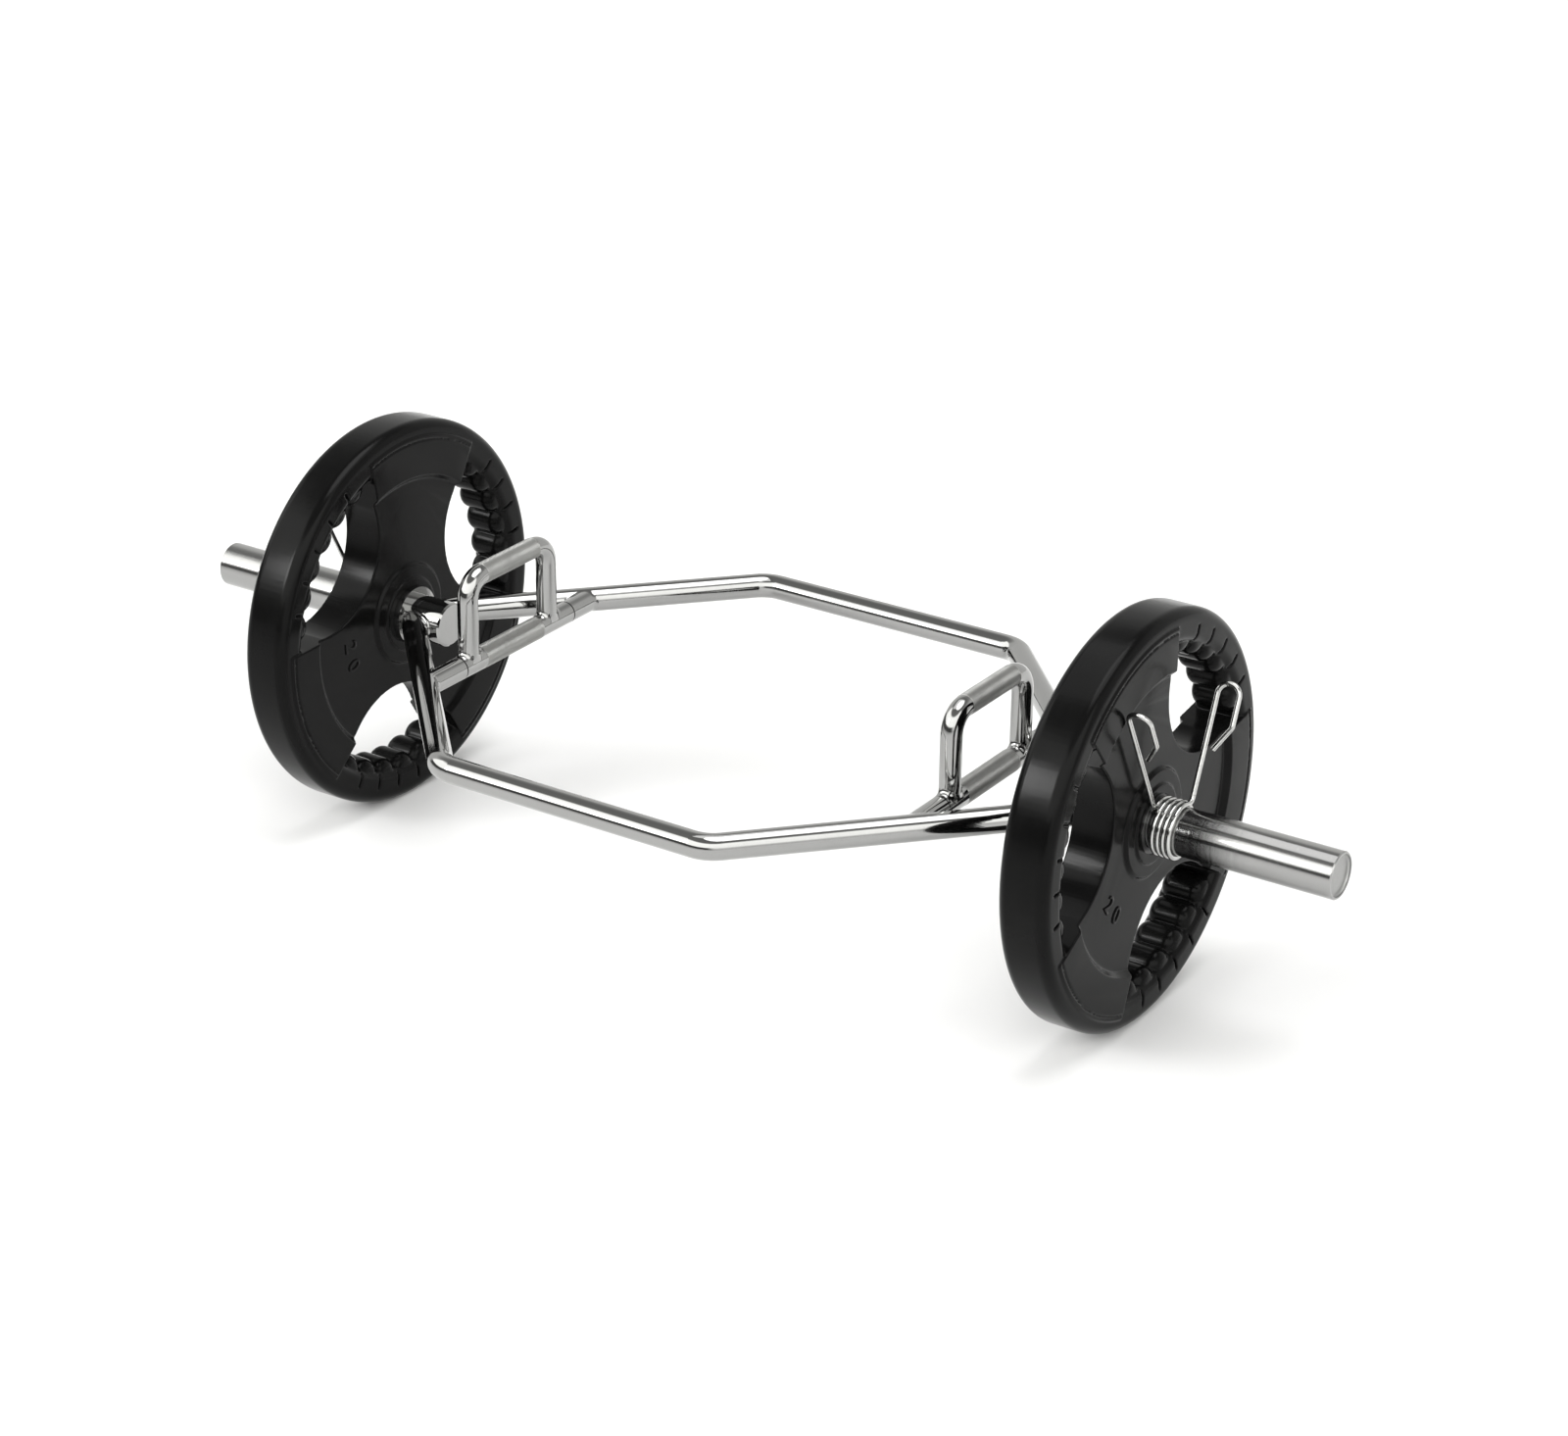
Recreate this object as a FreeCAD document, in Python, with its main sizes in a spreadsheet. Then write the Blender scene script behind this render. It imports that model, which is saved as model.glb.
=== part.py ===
import FreeCAD, Part
import math
import os
import Sketcher
from FreeCAD import Placement, Rotation, Vector

# Lengths in millimetres and angles in degrees. X runs along the bar, Y to the back, Z up from the floor.
SIZES = {
    # frame hexagon, measured on tube centre lines
    "hex_vertex": 444.6,
    "hex_corner": 164.9,
    "hex_half_width": 303.1,
    "tube_radius": 14.0,
    "tube_wall": 3.0,
    "tube_bend": 34.0,
    # sleeves and their roots
    "sleeve_radius": 25.0,
    "sleeve_wall": 3.0,
    "sleeve_length": 262.7,
    "sleeve_chamfer": 1.2,
    "root_length": 55.8,
    "root_end_round": 2.0,
    "spigot_length": 60.0,
    "flange_radius": 33.0,
    "flange_thickness": 7.0,
    "plug_recess": 9.5,
    "plug_thickness": 6.0,
    # low rails and raised handles
    "rail_half_length": 150.3,
    "rail_radius": 12.5,
    "grip_front": 92.0,
    "grip_rear": 103.0,
    "handle_radius": 11.5,
    "handle_rise": 97.5,
    "handle_half_spread": 70.7,
    "handle_shift": 3.8,
    "handle_bend": 24.0,
    # plates
    "plate_radius": 221.4,
    "seat_setback": 0.8,
    "seat_play": 0.3,
    "plate_thickness": 60.0,
    "rim_thickness": 49.0,
    "rim_shoulder": 8.0,
    "rim_depth": 40.4,
    "rim_inner_round": 13.0,
    "web_thickness": 47.0,
    "fan_foot_depth": 67.4,
    "fan_depth": 61.4,
    "lip_depth": 16.9,
    "lip_foot_depth": 14.4,
    "boss_radius": 56.0,
    "boss_foot_radius": 59.0,
    "boss_thickness": 55.0,
    "collar_radius": 42.0,
    "bush_radius": 31.0,
    "bush_clearance": 0.7,
    "bush_thickness": 58.0,
    "window_centre": 173.8,
    "window_radius": 90.8,
    "window_overrun": 55.6,
    "window_flare": 35.65,
    "finger_radius": 18.5,
    "finger_depth": 31.7,
    "finger_width": 48.2,
    "finger_pitch": 10.3,
    "core_web_thickness": 26.0,
    "core_rim_cover": 12.4,
    "core_rim_depth": 20.0,
    "core_rim_thickness": 23.0,
    "core_hub_radius": 49.0,
    "core_hub_thickness": 34.0,
    "core_cover": 8.0,
    "left_spoke_angle": 81.5,
    "right_spoke_angle": 109.0,
    # spring clips
    "wire_radius": 2.65,
    "clip_clearance": 0.7,
    "clip_gap": 4.1,
    "coil_pitch": 6.0,
    "coil_lead": 8.3,
    "inner_leave_angle": 108.2,
    "outer_leave_angle": 77.3,
    "base_bend": 6.5,
    "arm_start": 8.0,
    "arm_gap": 0.3,
    "inner_arm_tilt": 28.0,
    "inner_arm_length": 147.0,
    "outer_arm_tilt": 22.3,
    "outer_arm_length": 124.5,
    "hook_width": 24.0,
    "hook_bend": 11.6,
    "hook_leg": 42.0,
    "hook_tail_drop": 26.0,
    "hook_tail_run": 15.0,
    "hook_tail_bend": 8.0,
}
SIDES = {"left": -1, "right": 1}
FACINGS = {"front": -1, "rear": 1}
WINDOW_COUNT = 3
FINGER_COUNT = 6
COIL_TURNS = 4
FULL_TURN = 360
QUARTERS_PER_TURN = 4
HALF_SHARE = 0.5
GAP_SAMPLES_PER_EDGE = 12
NEAR_EDGES = 2

doc = FreeCAD.newDocument("hex_trap_bar")
sheet = doc.addObject("Spreadsheet::Sheet", "sizes")
for row, (name, number) in enumerate(SIZES.items(), start=1):
    sheet.set(f"A{row}", name)
    sheet.set(f"B{row}", str(number))
    sheet.setAlias(f"B{row}", name)
doc.recompute()


def value(expression):
    """The number an expression of the sheet stands for."""
    result = sheet.evalExpression(expression)
    return float(getattr(result, "Value", result))


def cell(name):
    """The expression that reads one size."""
    return f"sizes.{name}"


def inward(name):
    """A plate radius that lies a named depth in from the tread."""
    return f"(sizes.plate_radius - sizes.{name})"


AXIS_HEIGHT = cell("plate_radius")
PLATE_SEAT = "(sizes.hex_vertex - sizes.seat_setback)"
ROOT_INNER = f"({PLATE_SEAT} - sizes.root_length)"
SLEEVE_END = f"({PLATE_SEAT} + sizes.sleeve_length)"
FLANGE_INNER = f"{PLATE_SEAT} - sizes.flange_thickness"
SLANT_RUN = "(sizes.hex_vertex - sizes.hex_corner) / sizes.hex_half_width"
RAIL_OFFSET = f"(sizes.hex_vertex - sizes.rail_half_length * {SLANT_RUN})"
PLATE_MIDDLE = f"{PLATE_SEAT} + sizes.seat_play + sizes.plate_thickness / 2"
COIL_START = f"{PLATE_SEAT} + sizes.seat_play + sizes.plate_thickness + sizes.clip_gap"
SLEEVE_BORE = "sizes.sleeve_radius - sizes.sleeve_wall"
RIM_INNER = inward("rim_depth")
CORE_RIM_OUTER = inward("core_rim_cover")
CORE_RIM_INNER = f"({CORE_RIM_OUTER} - sizes.core_rim_depth)"


def bind(item, **expressions):
    """Tie properties of an object to expressions; a double underscore stands for a dot."""
    for name, expression in expressions.items():
        item.setExpression(name.replace("__", "."), expression)


def add_object(kind, label):
    item = doc.addObject(kind, label)
    item.Label = label
    return item


def mirrored(side, expression):
    """An X coordinate on one side of the bar."""
    return f"{side} * ({expression})"


def bar_cylinder(label, side, near, far, radius):
    """A cylinder on the sleeve axis between two distances from the bar's middle."""
    item = add_object("Part::Cylinder", label)
    item.Placement = Placement(Vector(), Rotation(Vector(0, 1, 0), 90))
    start = near if side > 0 else f"-({far})"
    bind(item, Radius=radius, Height=f"({far}) - ({near})")
    bind(item, Placement__Base__x=start, Placement__Base__z=AXIS_HEIGHT)
    return item


def cut(label, base, tool):
    item = add_object("Part::Cut", label)
    item.Base = base
    item.Tool = tool
    return item


def fuse(label, shapes):
    item = add_object("Part::MultiFuse", label)
    item.Shapes = shapes
    return item


def origin_item(body, role):
    return next(item for item in body.Origin.OriginFeatures if item.Role == role)


def add_sketch(body, role, label):
    """A sketch on one of the body's own origin planes."""
    sketch = body.newObject("Sketcher::SketchObject", label)
    sketch.AttachmentSupport = [(origin_item(body, role), "")]
    sketch.MapMode = "FlatFace"
    doc.recompute()
    return sketch


def bind_point(sketch, item, end, across, along):
    """Hold a point of a sketch at two expressions."""
    for kind, expression in (("DistanceX", across), ("DistanceY", along)):
        rule = Sketcher.Constraint(kind, -1, 1, item, end, value(expression))
        number = sketch.addConstraint(rule)
        sketch.setExpression(f"Constraints[{number}]", expression)


def draw_circle(sketch, across, along, radius):
    centre = Vector(value(across), value(along), 0)
    item = sketch.addGeometry(Part.Circle(centre, Vector(0, 0, 1), value(radius)), False)
    bind_point(sketch, item, 3, across, along)
    number = sketch.addConstraint(Sketcher.Constraint("Radius", item, value(radius)))
    sketch.setExpression(f"Constraints[{number}]", radius)


def draw_outline(sketch, corners):
    """A closed outline of straight lines through bound corners."""
    points = [Vector(value(across), value(along), 0) for across, along in corners]
    count = len(points)
    for index in range(count):
        sketch.addGeometry(Part.LineSegment(points[index], points[(index + 1) % count]), False)
    for index in range(count):
        sketch.addConstraint(Sketcher.Constraint("Coincident", index, 2, (index + 1) % count, 1))
    for index in range(count):
        bind_point(sketch, index, 1, *corners[index])


def bend_arc(before, corner, after, radius):
    """The tangent points and the arc that rounds a corner, and whether it turns to the left."""
    arrive = (corner - before).normalize()
    leave = (after - corner).normalize()
    turn = arrive.getAngle(leave)
    reach = radius * math.tan(turn * HALF_SHARE)
    first = corner - arrive * reach
    last = corner + leave * reach
    inward = (leave - arrive).normalize()
    centre = corner + inward * (radius / math.cos(turn * HALF_SHARE))
    middle = centre - inward * radius
    left = arrive.cross(leave).z > 0
    return first, middle, last, left


def draw_path(sketch, corners, bends):
    """An open path of straight lines with a rounded bend at each inner corner, all bound."""
    points = [Vector(value(across), value(along), 0) for across, along in corners]
    rounds = []
    for index, bend in enumerate(bends):
        rounds.append(bend_arc(*points[index:index + 3], value(bend)))
    starts = [points[0]] + [item[2] for item in rounds]
    ends = [item[0] for item in rounds] + [points[-1]]
    lines = [sketch.addGeometry(Part.LineSegment(*pair), False) for pair in zip(starts, ends)]
    for index, (first, middle, last, left) in enumerate(rounds):
        order = (first, middle, last) if left else (last, middle, first)
        arc = sketch.addGeometry(Part.Arc(*order), False)
        near_end, far_end = (1, 2) if left else (2, 1)
        sketch.addConstraint(Sketcher.Constraint("Tangent", lines[index], 2, arc, near_end))
        sketch.addConstraint(Sketcher.Constraint("Tangent", arc, far_end, lines[index + 1], 1))
        number = sketch.addConstraint(Sketcher.Constraint("Radius", arc, value(bends[index])))
        sketch.setExpression(f"Constraints[{number}]", bends[index])
        corner = sketch.addGeometry(Part.Point(points[index + 1]), True)
        sketch.addConstraint(Sketcher.Constraint("PointOnObject", corner, 1, lines[index]))
        sketch.addConstraint(Sketcher.Constraint("PointOnObject", corner, 1, lines[index + 1]))
        bind_point(sketch, corner, 1, *corners[index + 1])
    bind_point(sketch, lines[0], 1, *corners[0])
    bind_point(sketch, lines[-1], 2, *corners[-1])


def add_pipe(body, profile, path):
    doc.recompute()
    pipe = body.newObject("PartDesign::AdditivePipe", body.Label + "_pipe")
    pipe.Profile = profile
    pipe.Spine = (path, [f"Edge{index + 1}" for index in range(len(path.Shape.Edges))])
    doc.recompute()
    return pipe


def mirror_feature(body, feature, role):
    item = body.newObject("PartDesign::Mirrored", body.Label + "_mirrored")
    item.Originals = [feature]
    item.MirrorPlane = (origin_item(body, role), [""])
    body.Tip = item
    doc.recompute()


def frame_bar(label, facing, radius):
    """A solid bar along one half of the hexagon, from vertex to vertex; facing is -1 in front, 1 behind."""
    body = add_object("PartDesign::Body", label)
    across = f"{facing} * sizes.hex_half_width"
    profile = add_sketch(body, "YZ_Plane", label + "_profile")
    draw_circle(profile, across, "0", radius)
    path = add_sketch(body, "XY_Plane", label + "_path")
    corners = [("0", across), (cell("hex_corner"), across), (cell("hex_vertex"), "0")]
    draw_path(path, corners, [cell("tube_bend")])
    mirror_feature(body, add_pipe(body, profile, path), "YZ_Plane")
    bind(body, Placement__Base__z=AXIS_HEIGHT)
    return body


def make_root(name, side):
    """Solid sleeve root with a rounded inner end and a spigot that carries flange and sleeve."""
    body = add_object("PartDesign::Body", f"{name}_sleeve_root")
    sketch = add_sketch(body, "XY_Plane", f"{name}_root_outline")
    spigot_end = f"{PLATE_SEAT} + sizes.spigot_length"
    corners = [
        (ROOT_INNER, "0"), (ROOT_INNER, "sizes.sleeve_radius - sizes.root_end_round"),
        (f"{ROOT_INNER} + sizes.root_end_round", cell("sleeve_radius")),
        (FLANGE_INNER, cell("sleeve_radius")), (FLANGE_INNER, SLEEVE_BORE),
        (spigot_end, SLEEVE_BORE), (spigot_end, "0"),
    ]
    draw_outline(sketch, [(mirrored(side, across), along) for across, along in corners])
    turn_outline(body, sketch)
    bind(body, Placement__Base__z=AXIS_HEIGHT)
    return body


def turn_outline(body, sketch):
    """Revolve a sketch about the body's X axis."""
    turned = body.newObject("PartDesign::Revolution", sketch.Label + "_turned")
    turned.Profile = sketch
    turned.ReferenceAxis = (origin_item(body, "X_Axis"), [""])
    turned.Angle = FULL_TURN
    doc.recompute()
    return turned


def make_sleeve(name, side):
    """Loading sleeve: a tube with a chamfered outer end."""
    body = add_object("PartDesign::Body", f"{name}_sleeve")
    sketch = add_sketch(body, "XY_Plane", f"{name}_sleeve_outline")
    corners = [
        (PLATE_SEAT, SLEEVE_BORE), (PLATE_SEAT, cell("sleeve_radius")),
        (f"{SLEEVE_END} - sizes.sleeve_chamfer", cell("sleeve_radius")),
        (SLEEVE_END, "sizes.sleeve_radius - sizes.sleeve_chamfer"), (SLEEVE_END, SLEEVE_BORE),
    ]
    draw_outline(sketch, [(mirrored(side, across), along) for across, along in corners])
    turn_outline(body, sketch)
    bind(body, Placement__Base__z=AXIS_HEIGHT)
    return body


def make_flange(name, side):
    disc = bar_cylinder(f"{name}_flange_disc", side, FLANGE_INNER, PLATE_SEAT, cell("flange_radius"))
    hole = bar_cylinder(f"{name}_flange_hole", side, FLANGE_INNER, PLATE_SEAT, SLEEVE_BORE)
    return cut(f"{name}_stop_flange", disc, hole)


def make_plug(name, side):
    outer = f"{SLEEVE_END} - sizes.plug_recess"
    return bar_cylinder(f"{name}_sleeve_plug", side, f"{outer} - sizes.plug_thickness", outer, SLEEVE_BORE)


def rail_cylinder(label, side, rear, front, radius):
    """A cylinder along a low rail, from a front station to a rear one."""
    item = add_object("Part::Cylinder", label)
    item.Placement = Placement(Vector(), Rotation(Vector(1, 0, 0), -90))
    bind(item, Radius=radius, Height=f"({rear}) - ({front})")
    bind(item, Placement__Base__x=mirrored(side, RAIL_OFFSET))
    bind(item, Placement__Base__y=front, Placement__Base__z=AXIS_HEIGHT)
    return item


def make_rail(name, side, bars):
    """Grip bar between two stubs that are coped onto the frame tubes."""
    radius = cell("rail_radius")
    grip = rail_cylinder(f"{name}_low_grip", side, cell("grip_rear"), "-sizes.grip_front", radius)
    front = rail_cylinder(f"{name}_front_stub_bar", side, "-sizes.grip_front", "-sizes.rail_half_length", radius)
    rear = rail_cylinder(f"{name}_rear_stub_bar", side, cell("rail_half_length"), cell("grip_rear"), radius)
    stubs = {"front": front, "rear": rear}
    return [grip] + [cut(f"{name}_{place}_rail_stub", stub, bars[place]) for place, stub in stubs.items()]


def make_handle(name, side, grip):
    """Raised handle: a bar bent down at both ends, its feet coped onto the low grip."""
    body = add_object("PartDesign::Body", f"{name}_handle_bar")
    profile = add_sketch(body, "XZ_Plane", f"{name}_handle_profile")
    draw_circle(profile, "0", cell("handle_rise"), cell("handle_radius"))
    path = add_sketch(body, "YZ_Plane", f"{name}_handle_path")
    corners = [("0", cell("handle_rise")), (cell("handle_half_spread"), cell("handle_rise")),
               (cell("handle_half_spread"), "0")]
    draw_path(path, corners, [cell("handle_bend")])
    mirror_feature(body, add_pipe(body, profile, path), "XZ_Plane")
    bind(body, Placement__Base__x=mirrored(side, RAIL_OFFSET))
    bind(body, Placement__Base__y="-sizes.handle_shift", Placement__Base__z=AXIS_HEIGHT)
    return cut(f"{name}_raised_handle", body, grip)


def window_outline(cover):
    """Corners of a hand window's straight part: the tangent point and the flared reach, one side."""
    radius = f"(sizes.window_radius + {cover})"
    lean = f"asin({radius} / sizes.window_centre)"
    run = f"sqrt(sizes.window_centre ^ 2 - {radius} ^ 2)"
    near = (f"{run} * cos({lean})", f"{run} * sin({lean})")
    flare = f"(sizes.window_flare * 1 deg + {lean} - asin(sizes.window_radius / sizes.window_centre))"
    reach = "(sizes.plate_radius + sizes.window_overrun)"
    far = (f"{reach} * cos({flare})", f"{reach} * sin({flare})")
    return radius, near, far


def draw_window(sketch, cover):
    """One hand window: an arc towards the hub that runs on into two straight flanks."""
    radius, near, far = window_outline(cover)
    low_near = (near[0], f"-({near[1]})")
    low_far = (far[0], f"-({far[1]})")
    points = [Vector(value(across), value(along), 0) for across, along in (near, far, low_far, low_near)]
    middle = Vector(value(f"sizes.window_centre - {radius}"), 0, 0)
    for first, last in ((0, 1), (1, 2), (2, 3)):
        sketch.addGeometry(Part.LineSegment(points[first], points[last]), False)
    sketch.addGeometry(Part.Arc(points[0], middle, points[3]), False)
    for first, last in ((0, 1), (1, 2)):
        sketch.addConstraint(Sketcher.Constraint("Coincident", first, 2, last, 1))
    for item, end, corner in ((0, 1, near), (0, 2, far), (1, 2, low_far), (2, 2, low_near)):
        bind_point(sketch, item, end, *corner)
    sketch.addConstraint(Sketcher.Constraint("Coincident", 3, 1, 0, 1))
    sketch.addConstraint(Sketcher.Constraint("Coincident", 3, 2, 2, 2))
    number = sketch.addConstraint(Sketcher.Constraint("Radius", 3, value(radius)))
    sketch.setExpression(f"Constraints[{number}]", radius)


def cut_windows(body, cover):
    """Cut the hand windows through a turned disc and repeat them round the axis."""
    sketch = add_sketch(body, "YZ_Plane", body.Label + "_window")
    draw_window(sketch, cover)
    doc.recompute()
    pocket = body.newObject("PartDesign::Pocket", body.Label + "_window_cut")
    pocket.Profile = sketch
    pocket.Type = "ThroughAll"
    pocket.Midplane = True
    doc.recompute()
    pattern = body.newObject("PartDesign::PolarPattern", body.Label + "_windows")
    pattern.Originals = [pocket]
    pattern.Axis = (origin_item(body, "X_Axis"), [""])
    pattern.Angle = FULL_TURN
    pattern.Occurrences = WINDOW_COUNT
    body.Tip = pattern
    doc.recompute()


def half(name):
    return f"sizes.{name} / 2"


def both_faces(corners):
    """A half outline and its mirror image, as one closed outline across the mid-plane."""
    return corners + [(f"-({across})", along) for across, along in reversed(corners)]


def spoke_disc(label):
    """Hub, sunk webs and raised fans of a plate, turned as one disc with the windows cut out."""
    body = add_object("PartDesign::Body", label)
    sketch = add_sketch(body, "XY_Plane", label + "_outline")
    corners = [
        (half("plate_thickness"), "0"), (half("plate_thickness"), cell("collar_radius")),
        (half("boss_thickness"), cell("collar_radius")), (half("boss_thickness"), cell("boss_radius")),
        (half("web_thickness"), cell("boss_foot_radius")), (half("web_thickness"), inward("fan_foot_depth")),
        (half("plate_thickness"), inward("fan_depth")), (half("plate_thickness"), inward("lip_depth")),
        (half("rim_thickness"), inward("lip_foot_depth")),
    ]
    draw_outline(sketch, both_faces(corners))
    turn_outline(body, sketch)
    cut_windows(body, "0")
    return body


def rim_ring(label):
    """Rounded rim of a plate."""
    body = add_object("PartDesign::Body", label)
    sketch = add_sketch(body, "YZ_Plane", label + "_outline")
    draw_circle(sketch, "0", "0", cell("plate_radius"))
    draw_circle(sketch, "0", "0", RIM_INNER)
    doc.recompute()
    pad = body.newObject("PartDesign::Pad", label + "_pad")
    pad.Profile = sketch
    pad.Midplane = True
    bind(pad, Length=cell("rim_thickness"))
    doc.recompute()
    solid = pad
    rounds = (("outer", cell("plate_radius"), "rim_shoulder"), ("inner", RIM_INNER, "rim_inner_round"))
    for name, radius, size in rounds:
        edges = []
        for index, edge in enumerate(solid.Shape.Edges, start=1):
            round_edge = edge.Curve.TypeId == "Part::GeomCircle"
            if round_edge and math.isclose(edge.Curve.Radius, value(radius), rel_tol=1e-6):
                edges.append(f"Edge{index}")
        fillet = body.newObject("PartDesign::Fillet", f"{label}_{name}_round")
        fillet.Base = (solid, edges)
        bind(fillet, Radius=cell(size))
        doc.recompute()
        solid = fillet
    return body


def finger_bump(label, angle):
    """One finger grip: a bar across the rim with round ends."""
    straight = "(sizes.finger_width - 2 * sizes.finger_radius)"
    centre = inward("finger_depth")
    away = f"{centre} * cos({angle})"
    rise = f"{centre} * sin({angle})"
    barrel = add_object("Part::Cylinder", label + "_barrel")
    barrel.Placement = Placement(Vector(), Rotation(Vector(0, 1, 0), 90))
    bind(barrel, Radius=cell("finger_radius"), Height=straight, Placement__Base__x=f"-{straight} / 2")
    bind(barrel, Placement__Base__y=away, Placement__Base__z=rise)
    items = [barrel]
    for name, facing in (("inner", -1), ("outer", 1)):
        ball = add_object("Part::Sphere", f"{label}_{name}_ball")
        bind(ball, Radius=cell("finger_radius"), Placement__Base__x=f"{facing} * {straight} / 2")
        bind(ball, Placement__Base__y=away, Placement__Base__z=rise)
        items.append(ball)
    return items


def finger_bumps(label):
    items = []
    for window in range(WINDOW_COUNT):
        for finger in range(FINGER_COUNT):
            step = finger - (FINGER_COUNT - 1) * HALF_SHARE
            angle = f"({window * FULL_TURN / WINDOW_COUNT} + {step} * sizes.finger_pitch)"
            items.extend(finger_bump(f"{label}_{window}_{finger}", angle))
    return items


def core_shape(label):
    """Cast core: rim ring, spokes and hub, all inside the rubber."""
    webs = add_object("PartDesign::Body", label + "_webs")
    sketch = add_sketch(webs, "XY_Plane", label + "_web_outline")
    corners = [(half("core_web_thickness"), "0"),
               (half("core_web_thickness"), f"({CORE_RIM_INNER} + {CORE_RIM_OUTER}) / 2")]
    draw_outline(sketch, both_faces(corners))
    turn_outline(webs, sketch)
    cut_windows(webs, cell("core_cover"))
    parts = [webs]
    for name, inner, outer, thick in (
        ("rim", CORE_RIM_INNER, CORE_RIM_OUTER, half("core_rim_thickness")),
        ("hub", cell("bush_radius"), cell("core_hub_radius"), half("core_hub_thickness")),
    ):
        body = add_object("PartDesign::Body", f"{label}_{name}")
        sketch = add_sketch(body, "XY_Plane", f"{label}_{name}_outline")
        draw_outline(sketch, both_faces([(thick, inner), (thick, outer)]))
        turn_outline(body, sketch)
        parts.append(body)
    return fuse(label + "_casting", parts)


def plain_cylinder(label, radius, length):
    """A cylinder on the plate's own axis, centred on its mid-plane."""
    item = add_object("Part::Cylinder", label)
    item.Placement = Placement(Vector(), Rotation(Vector(0, 1, 0), 90))
    bind(item, Radius=radius, Height=length, Placement__Base__x=f"-({length}) / 2")
    return item


def set_plate(item, name, side):
    """Put a plate piece on its sleeve, turned to its spoke angle; windows lie half a spoke step on."""
    turn = value(cell(f"{name}_spoke_angle")) - HALF_SHARE * FULL_TURN / WINDOW_COUNT
    item.Placement = Placement(Vector(), Rotation(Vector(1, 0, 0), turn))
    bind(item, Placement__Base__x=mirrored(side, PLATE_MIDDLE), Placement__Base__z=AXIS_HEIGHT)
    return item


def make_plate(name, side):
    """Rubber jacket, cast core and steel bush of one plate."""
    label = f"{name}_plate"
    length = cell("plate_thickness")
    bore = plain_cylinder(label + "_bore", cell("bush_radius"), length)
    casting = core_shape(label + "_core")
    core = cut(f"{label}_core", casting, bore)
    discs = [spoke_disc(label + "_spokes"), rim_ring(label + "_rim")]
    skin = fuse(label + "_skin", discs + finger_bumps(label + "_finger"))
    hollow = fuse(label + "_hollow", [casting, bore])
    jacket = cut(f"{label}_rubber", skin, hollow)
    ring = plain_cylinder(label + "_bush_bar", cell("bush_radius"), cell("bush_thickness"))
    bush_bore = "sizes.sleeve_radius + sizes.bush_clearance"
    hole = plain_cylinder(label + "_bush_hole", bush_bore, cell("bush_thickness"))
    bush = cut(f"{label}_bush", ring, hole)
    return [set_plate(item, name, side) for item in (core, jacket, bush)]


def coil_radius():
    return value("sizes.sleeve_radius + sizes.clip_clearance + sizes.wire_radius")


def coil_wrap():
    """Degrees of winding between the two ends of the coil."""
    return COIL_TURNS * FULL_TURN + value("sizes.inner_leave_angle - sizes.outer_leave_angle")


def coil_point(side, angle_run):
    """Point and direction on the coil after so many degrees of winding from its inner end."""
    angle = math.radians(value(cell("inner_leave_angle")) - angle_run)
    along = value(COIL_START) + value(cell("coil_pitch")) * angle_run / FULL_TURN
    radius = coil_radius()
    height = value(AXIS_HEIGHT)
    point = Vector(side * along, radius * math.cos(angle), height + radius * math.sin(angle))
    rise = value(cell("coil_pitch")) / math.radians(FULL_TURN)
    direction = Vector(side * rise, radius * math.sin(angle), -radius * math.cos(angle)).normalize()
    return point, direction


def arc_middle(start, direction, end):
    """The middle of the arc that leaves a point in a direction and reaches another point."""
    chord = end - start
    unit = Vector(chord).normalize()
    side = (direction - unit * direction.dot(unit)).normalize()
    sag = chord.Length * HALF_SHARE * math.tan(direction.getAngle(unit) * HALF_SHARE)
    return (start + end) * HALF_SHARE + side * sag


def biarc(start, leave, end, arrive):
    """Two arcs that join two points and keep both directions."""
    chord = end - start
    both = leave + arrive
    square = 2 * (leave.dot(arrive) - 1)
    middle = -2 * chord.dot(both)
    reach = (-middle - math.sqrt(middle ** 2 - 4 * square * chord.dot(chord))) / (2 * square)
    joint = (start + leave * reach + end - arrive * reach) * HALF_SHARE
    first_mid = arc_middle(start, leave, joint)
    last_mid = arc_middle(end, arrive * -1, joint)
    return [Part.Arc(start, first_mid, joint).toShape(), Part.Arc(joint, last_mid, end).toShape()]


def bent_edges(points, bends):
    """Lines through points in space with the inner corners rounded."""
    edges = []
    start = points[0]
    for index, bend in enumerate(bends):
        first, middle, last, left = bend_arc(*points[index:index + 3], bend)
        edges.append(Part.LineSegment(start, first).toShape())
        edges.append(Part.Arc(first, middle, last).toShape())
        start = last
    edges.append(Part.LineSegment(start, points[-1]).toShape())
    return edges


def arm_base(side, place):
    """Corner where an arm turns up from the coil, and the arm's direction."""
    if place == "inner":
        end, direction = coil_point(side, 0)
        way = -1
    else:
        end, direction = coil_point(side, coil_wrap())
        way = 1
    base = end + direction * (way * value(cell("coil_lead")))
    turn = Rotation(Vector(1, 0, 0), -way * value(cell(f"{place}_arm_tilt")))
    return base, turn


def least_gap(wire):
    """Least distance between parts of the wire's centre line that are not neighbours, less its thickness."""
    runs = []
    for edge in wire.Edges:
        runs.append(edge.discretize(Number=GAP_SAMPLES_PER_EDGE))
    least = math.inf
    for index, run in enumerate(runs):
        for other in runs[index + 1 + NEAR_EDGES:]:
            for point in run:
                for far in other:
                    least = min(least, point.distanceToPoint(far))
    return least - 2 * value(cell("wire_radius"))


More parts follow.
